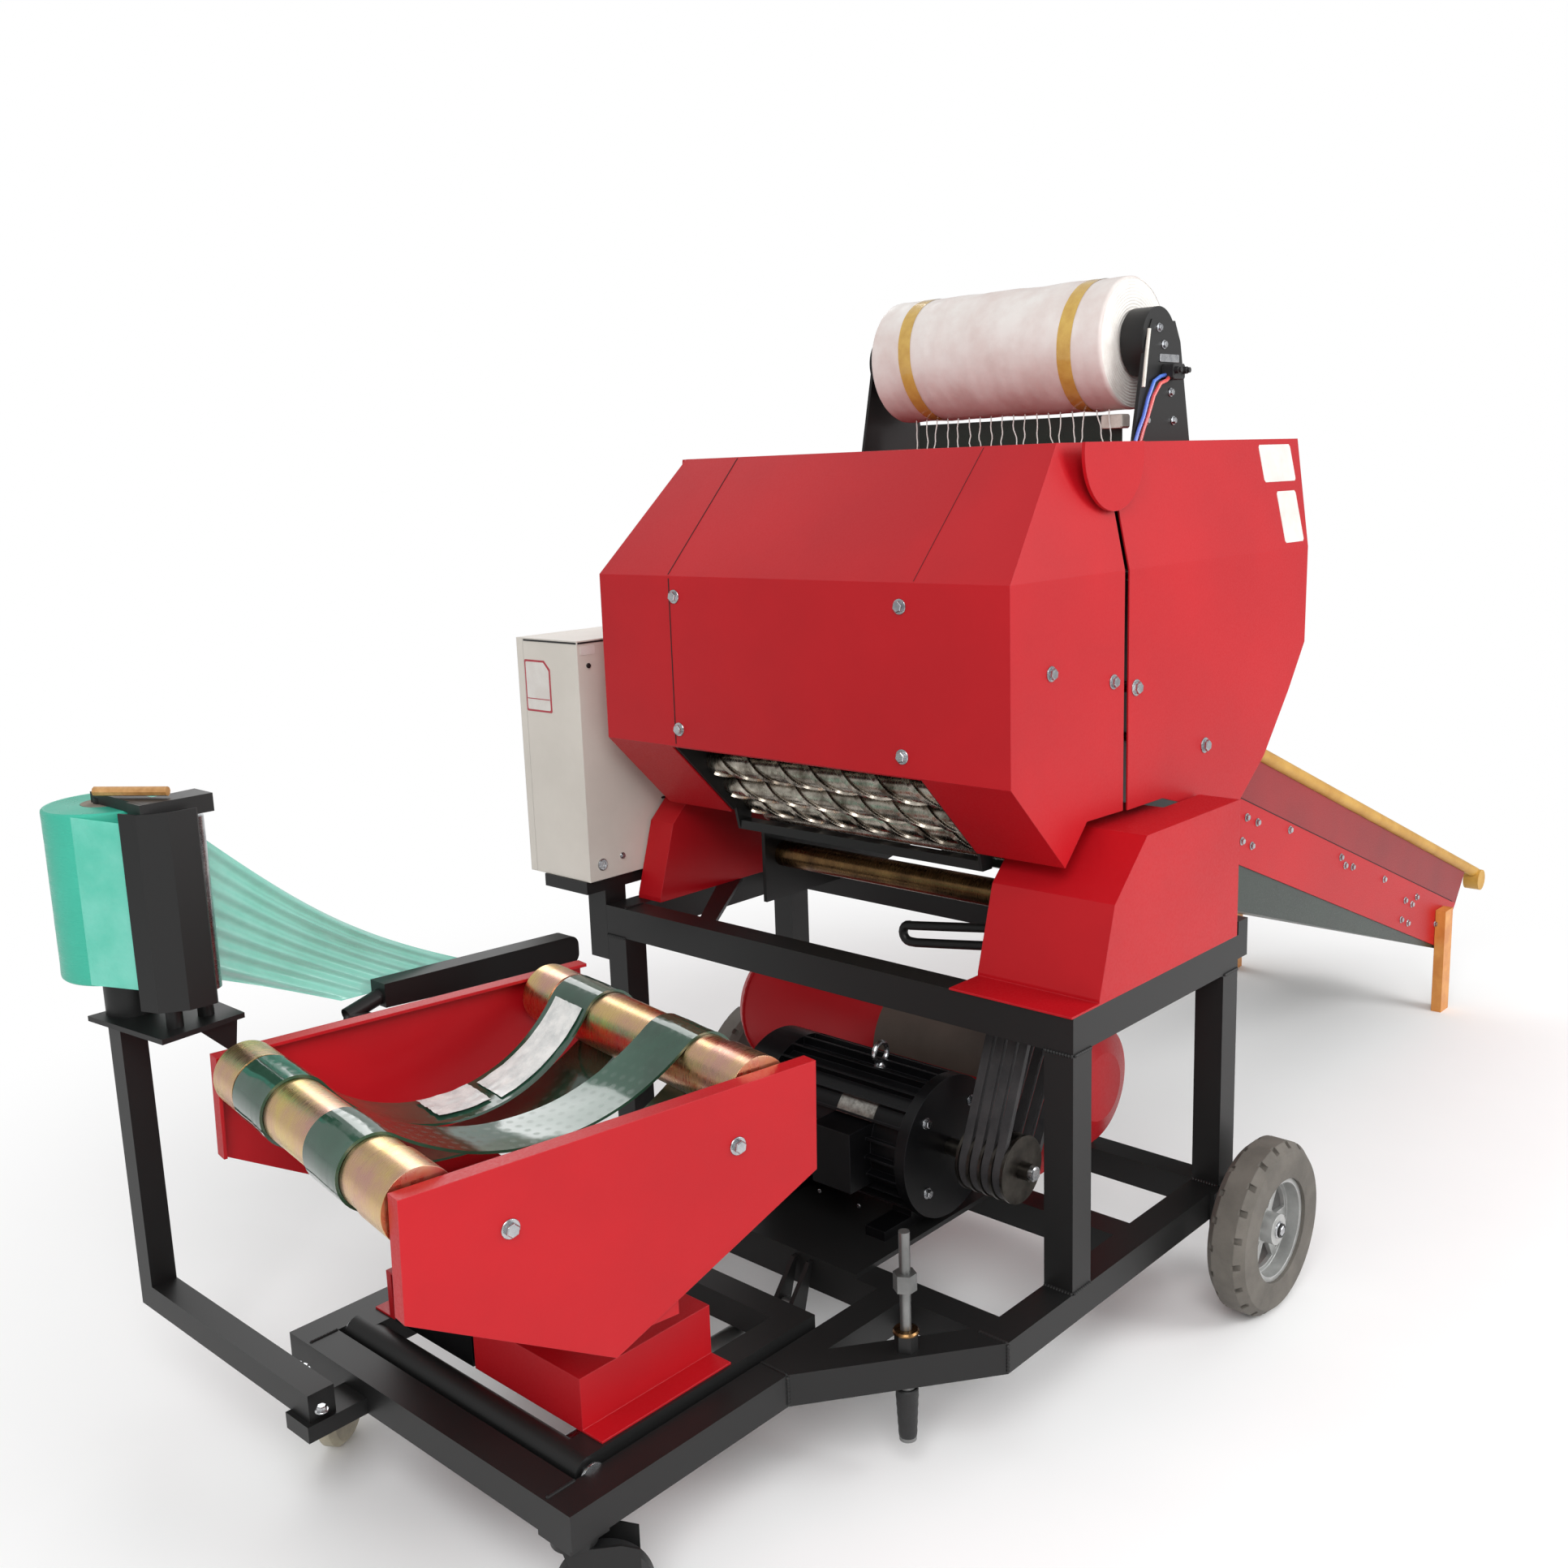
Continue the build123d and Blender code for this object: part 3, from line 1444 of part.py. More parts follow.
pieces = {
    "lower_frame": lower_frame.part,
    "upper_frame": upper_frame.part,
    "posts": posts.part,
    "axle_stubs": axle_stubs.part,
    "caster_plates": caster_plates.part,
    "tyre_right": tyre_parts[0],
    "tyre_left": tyre_parts[1],
    "rim_right": rim_parts[0],
    "rim_left": rim_parts[1],
    "caster_fork_right": fork_parts[0],
    "caster_fork_left": fork_parts[1],
    "caster_wheel_right": caster_parts[0],
    "caster_wheel_left": caster_parts[1],
    "gate_shell": gate_shell.part,
    "gate_sides": gate_sides.part,
    "gate_rollers": gate_rollers.part,
    "rear_hood": rear_hood.part,
    "hinge_ears": hinge_ears.part,
    "chamber_sides": chamber_sides.part,
    "hood_studs": hood_studs.part,
    "rear_rollers": rear_rollers.part,
    "discharge_roller": discharge_roller.part,
    "belt_guard": belt_guard.part,
    "chain_guard": chain_guard.part,
    "motor_plate": motor_plate.part,
    "motor": motor.part,
    "drive_pulleys": drive_pulleys.part,
    "drive_belts": drive_belts.part,
    "net_roll": net_roll.part,
    "net_brackets": net_brackets.part,
    "cabinet": cabinet.part,
    "cabinet_door": cabinet_door.part,
    "cabinet_bracket": cabinet_bracket.part,
    "conveyor_frame": conveyor_frame.part,
    "conveyor_hopper": conveyor_hopper.part,
    "edge_tubes": edge_tubes.part,
    "conveyor_rollers": conveyor_rollers.part,
    "conveyor_belt": conveyor_belt.part,
    "conveyor_pan": conveyor_pan.part,
    "conveyor_legs": conveyor_legs.part,
    "tilt_frame": tilt_frame.part,
    "tilt_pins": tilt_pins.part,
    "table_base": table_base.part,
    "table_drive": table_drive.part,
    "turntable": turned_table,
    "wrap_rollers": turned_rollers,
    "wrap_belts": turned_belts,
    "cylinder_barrel": cylinder_barrel.part,
    "cylinder_rod": cylinder_rod.part,
    "cylinder_lugs": cylinder_foot_lugs.part,
    "film_arm": film_arm.part,
    "film_holder": film_holder.part,
    "film_roll": film_roll.part,
    "stretch_roller_front": stretch_parts[0],
    "stretch_roller_rear": stretch_parts[1],
    "film_clamp": film_clamp.part,
    "film_web": film_web.part,
    "air_tank": air_tank.part,
    "jack_leg": jack_leg.part,
}

# The origin goes under the middle of the whole machine, on the floor
boxes = [piece.bounding_box() for piece in pieces.values()]
centre_x = (min(box.min.X for box in boxes) + max(box.max.X for box in boxes)) / 2
centre_y = (min(box.min.Y for box in boxes) + max(box.max.Y for box in boxes)) / 2
shift = Location((-centre_x, -centre_y, 0))

os.makedirs("parts", exist_ok=True)
for name, piece in pieces.items():
    placed = piece.moved(shift)
    placed.label = name
    export_step(placed, f"parts/{name}.step")
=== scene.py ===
"""Looks of a straw baler with its bale wrapper: finishes, small fittings, light and camera."""

import logging
import math
from collections.abc import Sequence
from dataclasses import dataclass
from enum import Enum

import bmesh
import bpy
from mathutils import Matrix, Quaternion, Vector, noise


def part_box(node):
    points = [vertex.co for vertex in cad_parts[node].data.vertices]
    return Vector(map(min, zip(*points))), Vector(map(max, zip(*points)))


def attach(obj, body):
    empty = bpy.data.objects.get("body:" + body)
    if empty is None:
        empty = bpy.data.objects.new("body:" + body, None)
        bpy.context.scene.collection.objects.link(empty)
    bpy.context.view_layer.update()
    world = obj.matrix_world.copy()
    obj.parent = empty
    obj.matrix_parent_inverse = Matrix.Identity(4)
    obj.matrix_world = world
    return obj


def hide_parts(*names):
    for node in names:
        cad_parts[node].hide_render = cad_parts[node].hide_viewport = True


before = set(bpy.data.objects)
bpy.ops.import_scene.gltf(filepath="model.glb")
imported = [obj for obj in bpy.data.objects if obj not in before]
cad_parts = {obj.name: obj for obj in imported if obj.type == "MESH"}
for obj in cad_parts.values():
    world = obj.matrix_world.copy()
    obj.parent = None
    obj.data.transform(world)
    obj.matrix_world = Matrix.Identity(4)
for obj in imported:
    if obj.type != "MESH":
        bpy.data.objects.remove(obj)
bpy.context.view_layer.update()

MM = 0.001
FRAME_LOW, FRAME_HIGH = (Vector(corner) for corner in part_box("upper_frame"))
# The ground under the middle of the upper frame's front edge, from which every place is measured.
GROUND_POINT = Vector((FRAME_LOW.x, (FRAME_LOW.y + FRAME_HIGH.y) / 2, 0.0))
SIDES = (-1, 1)
# Points along one scale of a weld bead.
SCALE_STEPS = 3
logger = logging.getLogger("baler")

Place = tuple[float, float, float]
Flat = tuple[float, float]


def linear_colour(hex_code: str) -> tuple[float, float, float, float]:
    """Turns an sRGB hex colour into the linear colour that a shader takes.

    Args:
        hex_code: Six hex digits, as in "B81F2B".

    Returns:
        Red, green, blue and an alpha of one.
    """
    channels = [int(hex_code[place:place + 2], 16) / 255 for place in (0, 2, 4)]
    low_end = 0.04045
    linear = [c / 12.92 if c <= low_end else ((c + 0.055) / 1.055) ** 2.4 for c in channels]
    return linear[0], linear[1], linear[2], 1.0


def pattern_scale(size_mm: float) -> float:
    """Gives the noise scale whose marks are about that size on an object measured in metres."""
    return 1000.0 / size_mm


def band_scale(band_mm: float) -> float:
    """Gives the wave scale whose bands are that far apart, as the wave node draws 20 / tau bands a unit."""
    return pattern_scale(band_mm) * math.tau / 20.0


def add_node(
    tree: bpy.types.NodeTree,
    kind: str,
    settings: dict | None = None,
    links: dict | None = None,
) -> bpy.types.Node:
    """Adds one node with its settings and links.

    Args:
        tree: The node tree that takes it.
        kind: The node's type.
        settings: Values by input name, input number or property name.
        links: Output sockets by the input name or number that each feeds.

    Returns:
        The new node.
    """
    node = tree.nodes.new(kind)
    for key, value in (settings or {}).items():
        if isinstance(key, int) or key in node.inputs:
            node.inputs[key].default_value = value
        else:
            setattr(node, key, value)
    for key, source in (links or {}).items():
        tree.links.new(source, node.inputs[key])
    return node


class MixSocket:
    """Numbers of the Mix node's sockets for colours and for plain values."""

    COLOUR_A = 6
    COLOUR_B = 7
    COLOUR_OUT = 2
    VALUE_A = 2
    VALUE_B = 3
    VALUE_OUT = 0


@dataclass(frozen=True)
class Finish:
    """What every finish has: two colours that drift into each other, a gloss and a fine surface.

    Args:
        name: The material's name.
        colour: Main colour as sRGB hex.
        second: The colour that it drifts to.
        roughness: Mean roughness.
        drift_mm: Width of the patches in which the colour drifts.
        grain_mm: Width of the fine marks in the surface.
        grain_height_mm: Height of those marks.
        stretch: How much longer the fine marks are along X, Y and Z than they are wide.
        metallic: One for bare metal.
        coat: Weight of a clear layer on top.
        ior: Index of refraction.
        roughness_spread: How far the roughness goes up and down.
        alpha: How solid the surface is.
        edge_mm: Radius that the light sees on a sharp edge, or nothing where edges stay sharp.
        edge_colour: Colour that the surface takes along its edges: rubbed wear and a painted highlight together.
        edge_share: How much of that colour shows.
    """

    name: str
    colour: str
    second: str
    roughness: float = 0.4
    drift_mm: float = 240.0
    grain_mm: float = 2.5
    grain_height_mm: float = 0.05
    stretch: Place = (1.0, 1.0, 1.0)
    metallic: float = 0.0
    coat: float = 0.0
    ior: float = 1.5
    roughness_spread: float = 0.08
    alpha: float = 1.0
    edge_mm: float = 0.0
    edge_colour: str = ""
    edge_share: float = 0.5

    def coordinates(self, tree: bpy.types.NodeTree) -> bpy.types.NodeSocket:
        """Places the pattern on the object's own metres.

        Args:
            tree: The material's node tree.

        Returns:
            The socket that holds the coordinates.
        """
        place = add_node(tree, "ShaderNodeTexCoord")
        shrink = tuple(1.0 / share for share in self.stretch)
        mapping = add_node(tree, "ShaderNodeMapping", {"Scale": shrink}, {"Vector": place.outputs["Object"]})
        return mapping.outputs["Vector"]

    def drift(self, tree: bpy.types.NodeTree) -> bpy.types.NodeSocket:
        """Makes the colour that wanders between the two.

        Args:
            tree: The material's node tree.

        Returns:
            The colour's socket.
        """
        place = add_node(tree, "ShaderNodeTexCoord")
        patches = add_node(
            tree,
            "ShaderNodeTexNoise",
            {"Scale": pattern_scale(self.drift_mm), "Detail": 5.0, "Roughness": 0.6},
            {"Vector": place.outputs["Object"]},
        )
        share = add_node(
            tree,
            "ShaderNodeMapRange",
            {"From Min": 0.35, "From Max": 0.65, "To Min": 0.0, "To Max": 1.0},
            {"Value": patches.outputs["Fac"]},
        )
        mix = add_node(
            tree,
            "ShaderNodeMix",
            {
                "data_type": "RGBA",
                MixSocket.COLOUR_A: linear_colour(self.colour),
                MixSocket.COLOUR_B: linear_colour(self.second),
            },
            {"Factor": share.outputs["Result"]},
        )
        return mix.outputs[MixSocket.COLOUR_OUT]

    def colour_socket(self, tree: bpy.types.NodeTree) -> bpy.types.NodeSocket:
        """Gives the surface's colour, which a finish with a pattern of its own makes anew."""
        return self.drift(tree)

    def height_socket(self, tree: bpy.types.NodeTree) -> bpy.types.NodeSocket:
        """Makes the height of the fine surface.

        Args:
            tree: The material's node tree.

        Returns:
            The height's socket, from nothing to one.
        """
        grain = add_node(
            tree,
            "ShaderNodeTexNoise",
            {"Scale": pattern_scale(self.grain_mm), "Detail": 3.0, "Roughness": 0.55},
            {"Vector": self.coordinates(tree)},
        )
        return grain.outputs["Fac"]

    def edge_mask(self, tree: bpy.types.NodeTree, rounded: bpy.types.Node) -> bpy.types.NodeSocket:
        """Finds the sharp edges: there the rounded normal leaves the flat one.

        Args:
            tree: The material's node tree.
            rounded: The node that rounds the edges.

        Returns:
            One on an edge and nothing on a face, broken up by a noise into patches. The colour laid there is a painted
            highlight together with rubbed wear.
        """
        flat = add_node(tree, "ShaderNodeNewGeometry")
        both = add_node(
            tree,
            "ShaderNodeVectorMath",
            {"operation": "DOT_PRODUCT"},
            {0: rounded.outputs["Normal"], 1: flat.outputs["Normal"]},
        )
        edge = add_node(
            tree,
            "ShaderNodeMapRange",
            {"From Min": 0.95, "From Max": 0.78, "To Min": 0.0, "To Max": self.edge_share},
            {"Value": both.outputs["Value"]},
        )
        place = add_node(tree, "ShaderNodeTexCoord")
        edge_patch_mm = 35.0
        edge_patches = add_node(
            tree,
            "ShaderNodeTexNoise",
            {"Scale": pattern_scale(edge_patch_mm), "Detail": 4.0},
            {"Vector": place.outputs["Object"]},
        )
        broken = add_node(
            tree,
            "ShaderNodeMath",
            {"operation": "MULTIPLY", "use_clamp": True},
            {0: edge.outputs["Result"], 1: edge_patches.outputs["Fac"]},
        )
        return broken.outputs["Value"]

    def material(self) -> bpy.types.Material:
        """Builds the material once and gives the same one after that.

        Returns:
            The material.
        """
        known = bpy.data.materials.get(self.name)
        if known is not None:
            return known
        made = bpy.data.materials.new(self.name)
        made.use_nodes = True
        tree = made.node_tree
        tree.nodes.clear()
        height = self.height_socket(tree)
        gloss = add_node(
            tree,
            "ShaderNodeMapRange",
            {
                "From Min": 0.3,
                "From Max": 0.7,
                "To Min": max(0.03, self.roughness - self.roughness_spread),
                "To Max": min(1.0, self.roughness + self.roughness_spread),
            },
            {"Value": height},
        )
        bump = add_node(
            tree,
            "ShaderNodeBump",
            {"Strength": 1.0, "Distance": self.grain_height_mm * MM},
            {"Height": height},
        )
        colour = self.colour_socket(tree)
        if self.edge_mm:
            rounded = add_node(tree, "ShaderNodeBevel", {"samples": 4, "Radius": self.edge_mm * MM})
            tree.links.new(rounded.outputs["Normal"], bump.inputs["Normal"])
            # Along the edges the colour is lightened: a painted highlight, together with rubbed wear.
            if self.edge_colour:
                lit_and_worn_edge = add_node(
                    tree,
                    "ShaderNodeMix",
                    {"data_type": "RGBA", MixSocket.COLOUR_B: linear_colour(self.edge_colour)},
                    {"Factor": self.edge_mask(tree, rounded), MixSocket.COLOUR_A: colour},
                )
                colour = lit_and_worn_edge.outputs[MixSocket.COLOUR_OUT]
        shader = add_node(
            tree,
            "ShaderNodeBsdfPrincipled",
            {
                "Metallic": self.metallic,
                "IOR": self.ior,
                "Coat Weight": self.coat,
                "Coat Roughness": 0.08,
                "Alpha": self.alpha,
            },
            {
                "Base Color": colour,
                "Roughness": gloss.outputs["Result"],
                "Normal": bump.outputs["Normal"],
            },
        )
        add_node(tree, "ShaderNodeOutputMaterial", links={"Surface": shader.outputs["BSDF"]})
        made.diffuse_color = linear_colour(self.colour)
        return made


@dataclass(frozen=True)
class WoundNetFinish(Finish):
    """Net wound on a roll: bands of turns round it, a few deeper creases and a warm tint that drifts in patches."""

    band_mm: float = 31.416

    def height_socket(self, tree: bpy.types.NodeTree) -> bpy.types.NodeSocket:
        """Makes the turns and the creases.

        Args:
            tree: The material's node tree.

        Returns:
            The height's socket.
        """
        place = add_node(tree, "ShaderNodeTexCoord")
        # One real thread is half a millimetre wide and none would show. What is drawn is the broad bands
        # in which the turns lie tighter or looser.
        turns = add_node(
            tree,
            "ShaderNodeTexWave",
            {
                "bands_direction": "Y",
                "Scale": band_scale(self.band_mm),
                "Distortion": 3.5,
                "Detail": 3.0,
                "Detail Scale": 1.6,
            },
            {"Vector": place.outputs["Object"]},
        )
        crease_mm = 34.0
        creases = add_node(
            tree,
            "ShaderNodeTexNoise",
            {"Scale": pattern_scale(crease_mm), "Detail": 4.0, "Distortion": 1.2},
            {"Vector": self.coordinates(tree)},
        )
        mixed = add_node(
            tree,
            "ShaderNodeMix",
            {"data_type": "FLOAT", "Factor": 0.62},
            {MixSocket.VALUE_A: turns.outputs["Fac"], MixSocket.VALUE_B: creases.outputs["Fac"]},
        )
        return mixed.outputs[MixSocket.VALUE_OUT]


@dataclass(frozen=True)
class BeltingFinish(Finish):
    """Coated belting: a plain top coat over a weave that only just shows through."""

    weave_mm: float = 18.85

    def height_socket(self, tree: bpy.types.NodeTree) -> bpy.types.NodeSocket:
        """Makes the weave under the coat.

        Args:
            tree: The material's node tree.

        Returns:
            The height's socket.
        """
        place = add_node(tree, "ShaderNodeTexCoord")
        # The yarns are a millimetre apart on the real belt. They are drawn about nineteen times as coarse,
        # because nothing finer shows in the render.
        yarns = [
            add_node(
                tree,
                "ShaderNodeTexWave",
                {"bands_direction": axis, "Scale": band_scale(self.weave_mm), "Distortion": 0.6},
                {"Vector": place.outputs["Object"]},
            )
            for axis in ("X", "Y")
        ]
        crossed = add_node(
            tree,
            "ShaderNodeMath",
            {"operation": "MULTIPLY"},
            {0: yarns[0].outputs["Fac"], 1: yarns[1].outputs["Fac"]},
        )
        return crossed.outputs["Value"]


@dataclass(frozen=True)
class TurnedFinish(Finish):
    """Metal turned on a lathe or drawn through a die: fine lines round its length along Y."""

    line_mm: float = 1.6

    def height_socket(self, tree: bpy.types.NodeTree) -> bpy.types.NodeSocket:
        """Makes the lines.

        Args:
            tree: The material's node tree.

        Returns:
            The height's socket.
        """
        place = add_node(tree, "ShaderNodeTexCoord")
        shrink = add_node(
            tree, "ShaderNodeMapping", {"Scale": (0.08, 1.0, 0.08)}, {"Vector": place.outputs["Object"]},
        )
        # The tool's real feed is a fifth of a millimetre. The lines are drawn coarser so that they catch light.
        lines = add_node(
            tree,
            "ShaderNodeTexNoise",
            {"Scale": pattern_scale(self.line_mm), "Detail": 2.0},
            {"Vector": shrink.outputs["Vector"]},
        )
        return lines.outputs["Fac"]


class Finishes(Enum):
    """The finishes of this machine."""

    # Polyester powder coat on folded sheet: a deep red with a soft gloss and a faint orange peel, its edges painted a
    # lighter red: a painted highlight together with rubbed wear.
    RED_POWDER_COAT = Finish(
        "red_powder_coat", "B50E19", "A90C17", 0.42, 420.0, 3.2, 0.02, ior=1.36,
        edge_mm=1.6, edge_colour="DC5058", edge_share=0.9,
    )
    # The same coat painted darker as painted shade, with a painted highlight and rubbed wear along its edges.
    RED_COAT_SHADED = Finish(
        "red_powder_coat_painted_shade", "8E0E16", "7A0C14", 0.46, 300.0, 2.4, 0.02, edge_mm=1.2, edge_colour="B0505A",
    )
    # Air-dried black enamel on welded tube: near black and glossy, thinner on the corners, which are painted grey: a
    # painted highlight together with rubbed wear.
    BLACK_ENAMEL = Finish(
        "black_enamel", "030303", "070708", 0.2, 180.0, 3.0, 0.04, ior=1.24,
        edge_mm=2.4, edge_colour="8E8E92", edge_share=1.1,
    )
    # Cast iron under black paint, rougher than the tube, with its edges painted grey: a painted highlight together
    # with rubbed wear.
    BLACK_CASTING = Finish(
        "painted_cast_iron", "050506", "0B0B0D", 0.36, 90.0, 1.6, 0.16, ior=1.33, edge_mm=1.2, edge_colour="5A5A60",
    )
    # Black moulded rubber or plastic: matt, with a faint mould grain.
    BLACK_MOULDING = Finish("black_moulding", "141414", "1F1F20", 0.55, 60.0, 1.4, 0.05, edge_mm=0.8)
    # Grey-white powder coat with a fine texture, as on switch cabinets, with its edges painted paler: a painted
    # highlight together with rubbed wear.
    CABINET_COAT = Finish(
        "textured_grey_powder_coat", "DAD4CB", "CEC8BF", 0.48, 320.0, 1.6, 0.06,
        edge_mm=2.0, edge_colour="E6E6E4",
    )
    # Hard-chromed steel: bright and hard, darker in patches.
    CHROME_PLATE = TurnedFinish(
        "hard_chrome", "CFC7BA", "6A6156", 0.27, 42.0, 0.8, 0.015, metallic=1.0, edge_mm=1.8, line_mm=2.2,
    )
    # Yellow-passivated zinc plate: gold that turns pink and green in patches.
    YELLOW_ZINC = TurnedFinish(
        "yellow_passivated_zinc", "E3C67E", "D6A796", 0.3, 80.0, 1.0, 0.015, metallic=1.0, edge_mm=0.8,
    )
    # Bronze sleeve turned and left to darken.
    BRONZE = TurnedFinish("turned_bronze", "8A6A44", "5E4630", 0.3, 60.0, 0.8, 0.02, metallic=1.0)
    # Clear zinc plate on bolts and rods: cool grey with cloudy patches.
    BRIGHT_ZINC = Finish(
        "bright_zinc", "C4C6C8", "9C9EA2", 0.26, 24.0, 1.0, 0.01, metallic=1.0, edge_mm=0.5,
    )
    # Machined cast iron on the pulleys: dark grey with turned rims.
    TURNED_IRON = TurnedFinish("turned_cast_iron", "58544E", "3B3835", 0.36, 40.0, 1.0, 0.03, metallic=1.0)
    # Mill-finish steel tube: even mid grey, a little dull.
    DRAWN_STEEL = Finish("drawn_steel", "8C8D8C", "747574", 0.4, 70.0, 1.2, 0.02, metallic=0.85)
    # Die-cast aluminium: pale grey with a fine open grain, with a painted highlight along the spokes' edges.
    CAST_ALUMINIUM = Finish(
        "cast_aluminium", "B9BAB8", "9A9B99", 0.42, 60.0, 1.5, 0.06, metallic=0.45,
        edge_mm=2.0, edge_colour="F0F0F0", edge_share=1.4,
    )
    # Vulcanised rubber: warm mid grey, matt, paler along the lugs' edges: dust together with a painted highlight.
    TYRE_RUBBER = Finish(
        "tyre_rubber", "57534D", "6A655E", 0.74, 70.0, 2.0, 0.12, edge_mm=2.5, edge_colour="8A867F",
    )
    # Fabric-backed drive belt: charcoal and dead matt.
    BELT_RUBBER = Finish("drive_belt_rubber", "242325", "333132", 0.62, 40.0, 1.5, 0.08, edge_mm=1.2)
    # PVC-coated conveyor belting: dark green with a wet gloss.
    GREEN_BELTING = BeltingFinish("green_pvc_belting", "1C3B2C", "2A5140", 0.17, 130.0, 3.0, 0.03, coat=0.5)
    # Dark green paint on thin sheet.
    GREEN_PAINT = Finish("dark_green_paint", "15211B", "1B2B22", 0.34, 200.0, 2.4, 0.03, edge_mm=1.0)
    # Knitted polyethylene net: white threads wound flat, with a pink-grey cast in patches.
    NET_THREAD = WoundNetFinish(
        "wound_net", "E3DEDA", "D6C8C3", 0.5, 90.0, 4.0, 0.9, (3.0, 1.0, 3.0), roughness_spread=0.15,
    )
    # Ends of the wound net: edges of many turns, greyer than the outside.
    NET_EDGE = Finish("net_roll_end", "EDEAE5", "E0DCD6", 0.7, 30.0, 1.8, 0.4)
    # One loose thread of the net.
    NET_STRAND = Finish("net_strand", "ECEAE6", "D8D5D0", 0.5, 30.0, 1.0, 0.05)
    # Clear yellow parcel tape: glossy and slightly see-through.
    YELLOW_TAPE = Finish("yellow_packing_tape", "D8B45A", "C9A04A", 0.2, 24.0, 2.0, 0.08, coat=0.5, alpha=0.9)
    # Grey pressed board of a roll's core.
    CORE_BOARD = Finish("core_board", "8F8578", "7C7266", 0.85, 20.0, 1.2, 0.15)
    # Wound stretch film: a solid turquoise roll with a waxy shine.
    FILM_ROLL = Finish("wound_stretch_film", "3FB49B", "38A990", 0.3, 260.0, 7.0, 0.05, (6.0, 6.0, 1.0), ior=1.4)
    # One layer of stretch film: pale turquoise and clear enough to see through.
    FILM_SHEET = Finish(
        "stretch_film_sheet", "5CC9B1", "7AD6C2", 0.12, 90.0, 12.0, 1.4, (5.0, 1.0, 1.2), alpha=0.84, coat=0.3,
    )
    # Cream polyurethane tread.
    CREAM_POLYURETHANE = Finish("cream_polyurethane", "B9B199", "9B9380", 0.42, 30.0, 2.0, 0.05, edge_mm=2.0)
    # Ochre paint on tube, chalky at its edge.
    OCHRE_PAINT = Finish("ochre_paint", "C79A45", "B3822F", 0.5, 90.0, 2.5, 0.06)
    # Orange enamel on the conveyor's legs, with brown scuffs.
    ORANGE_PAINT = Finish("orange_enamel", "DE9B4C", "C77B33", 0.38, 60.0, 2.5, 0.06, edge_mm=1.5)
    # Plain white plastic film of an unprinted plate.
    BLANK_PLATE = Finish("blank_white_plate", "DDDAD5", "D3CDC7", 0.35, 40.0, 1.5, 0.01)
    # Red ink border of a plate.
    RED_BORDER = Finish("red_border_ink", "B23A46", "A22F3C", 0.4, 30.0, 1.0, 0.01)
    # Brushed tin plate of an unstamped rating plate.
    TIN_PLATE = Finish("brushed_tin_plate", "B8B6B0", "86847F", 0.35, 8.0, 0.8, 0.04, (12.0, 1.0, 1.0), metallic=1.0)
    # Glossy white tape or cloth that patches a belt.
    WHITE_PATCH = Finish("white_patch_cloth", "EDEDEA", "CBCECD", 0.24, 26.0, 9.0, 0.12, coat=0.3)
    # Natural unpainted nylon, slightly see-through.
    NYLON = Finish("natural_nylon", "D9D6CE", "C4C0B6", 0.38, 20.0, 1.5, 0.03)
    # Tan lacquered wood of a handle or bar.
    TAN_WOOD = Finish("lacquered_wood", "C99A62", "B07F48", 0.35, 14.0, 1.2, 0.05, (8.0, 1.0, 1.0), coat=0.2)
    # Polyurethane air hose, one red and one blue.
    RED_HOSE = Finish("red_air_hose", "D9534A", "B8434C", 0.3, 40.0, 1.5, 0.02, coat=0.2)
    BLUE_HOSE = Finish("blue_air_hose", "4B78D0", "5A63C4", 0.3, 40.0, 1.5, 0.02, coat=0.2)
    # Taupe paint on a flat panel behind the motor.
    TAUPE_PAINT = Finish("taupe_paint", "5A4C44", "4D413A", 0.5, 120.0, 2.0, 0.03)
    # Dark gap between two sheets, where no light falls.
    SHADOW_GAP = Finish("shadow_gap", "1A0809", "240B0D", 0.8, 60.0, 1.5, 0.02)


NODE_FINISHES: dict[Finishes, tuple[str, ...]] = {
    Finishes.BLACK_ENAMEL: (
        "lower_frame", "upper_frame", "posts", "axle_stubs", "caster_plates", "caster_fork_right", "caster_fork_left",
        "gate_sides", "chamber_sides", "motor_plate", "net_brackets", "cabinet_bracket",
        "tilt_frame", "cylinder_lugs", "film_arm", "film_holder", "film_clamp",
    ),
    Finishes.RED_POWDER_COAT: (
        "gate_shell", "rear_hood", "hinge_ears", "belt_guard", "chain_guard", "conveyor_frame",
        "table_base", "turntable", "air_tank",
    ),
    # The hopper takes the darker coat: painted shade.
    Finishes.RED_COAT_SHADED: ("conveyor_hopper",),
    Finishes.BLACK_CASTING: ("motor", "table_drive"),
    Finishes.CABINET_COAT: ("cabinet", "cabinet_door"),
    Finishes.CHROME_PLATE: ("gate_rollers", "rear_rollers"),
    Finishes.YELLOW_ZINC: ("wrap_rollers",),
    Finishes.BRONZE: ("discharge_roller",),
    Finishes.BRIGHT_ZINC: ("hood_studs", "tilt_pins", "cylinder_rod", "stretch_roller_front", "stretch_roller_rear"),
    Finishes.DRAWN_STEEL: ("conveyor_rollers", "cylinder_barrel", "jack_leg"),
    Finishes.TURNED_IRON: ("drive_pulleys",),
    Finishes.CAST_ALUMINIUM: ("rim_right", "rim_left"),
    Finishes.TYRE_RUBBER: ("tyre_right", "tyre_left"),
    Finishes.BELT_RUBBER: ("drive_belts",),
    Finishes.GREEN_BELTING: ("wrap_belts", "conveyor_belt"),
    Finishes.GREEN_PAINT: ("conveyor_pan",),
    Finishes.NET_THREAD: ("net_roll",),
    Finishes.FILM_ROLL: ("film_roll",),
    Finishes.FILM_SHEET: ("film_web",),
    Finishes.CREAM_POLYURETHANE: ("caster_wheel_left",),
    Finishes.BLACK_MOULDING: ("caster_wheel_right",),
    Finishes.OCHRE_PAINT: ("edge_tubes",),
    Finishes.ORANGE_PAINT: ("conveyor_legs",),
}


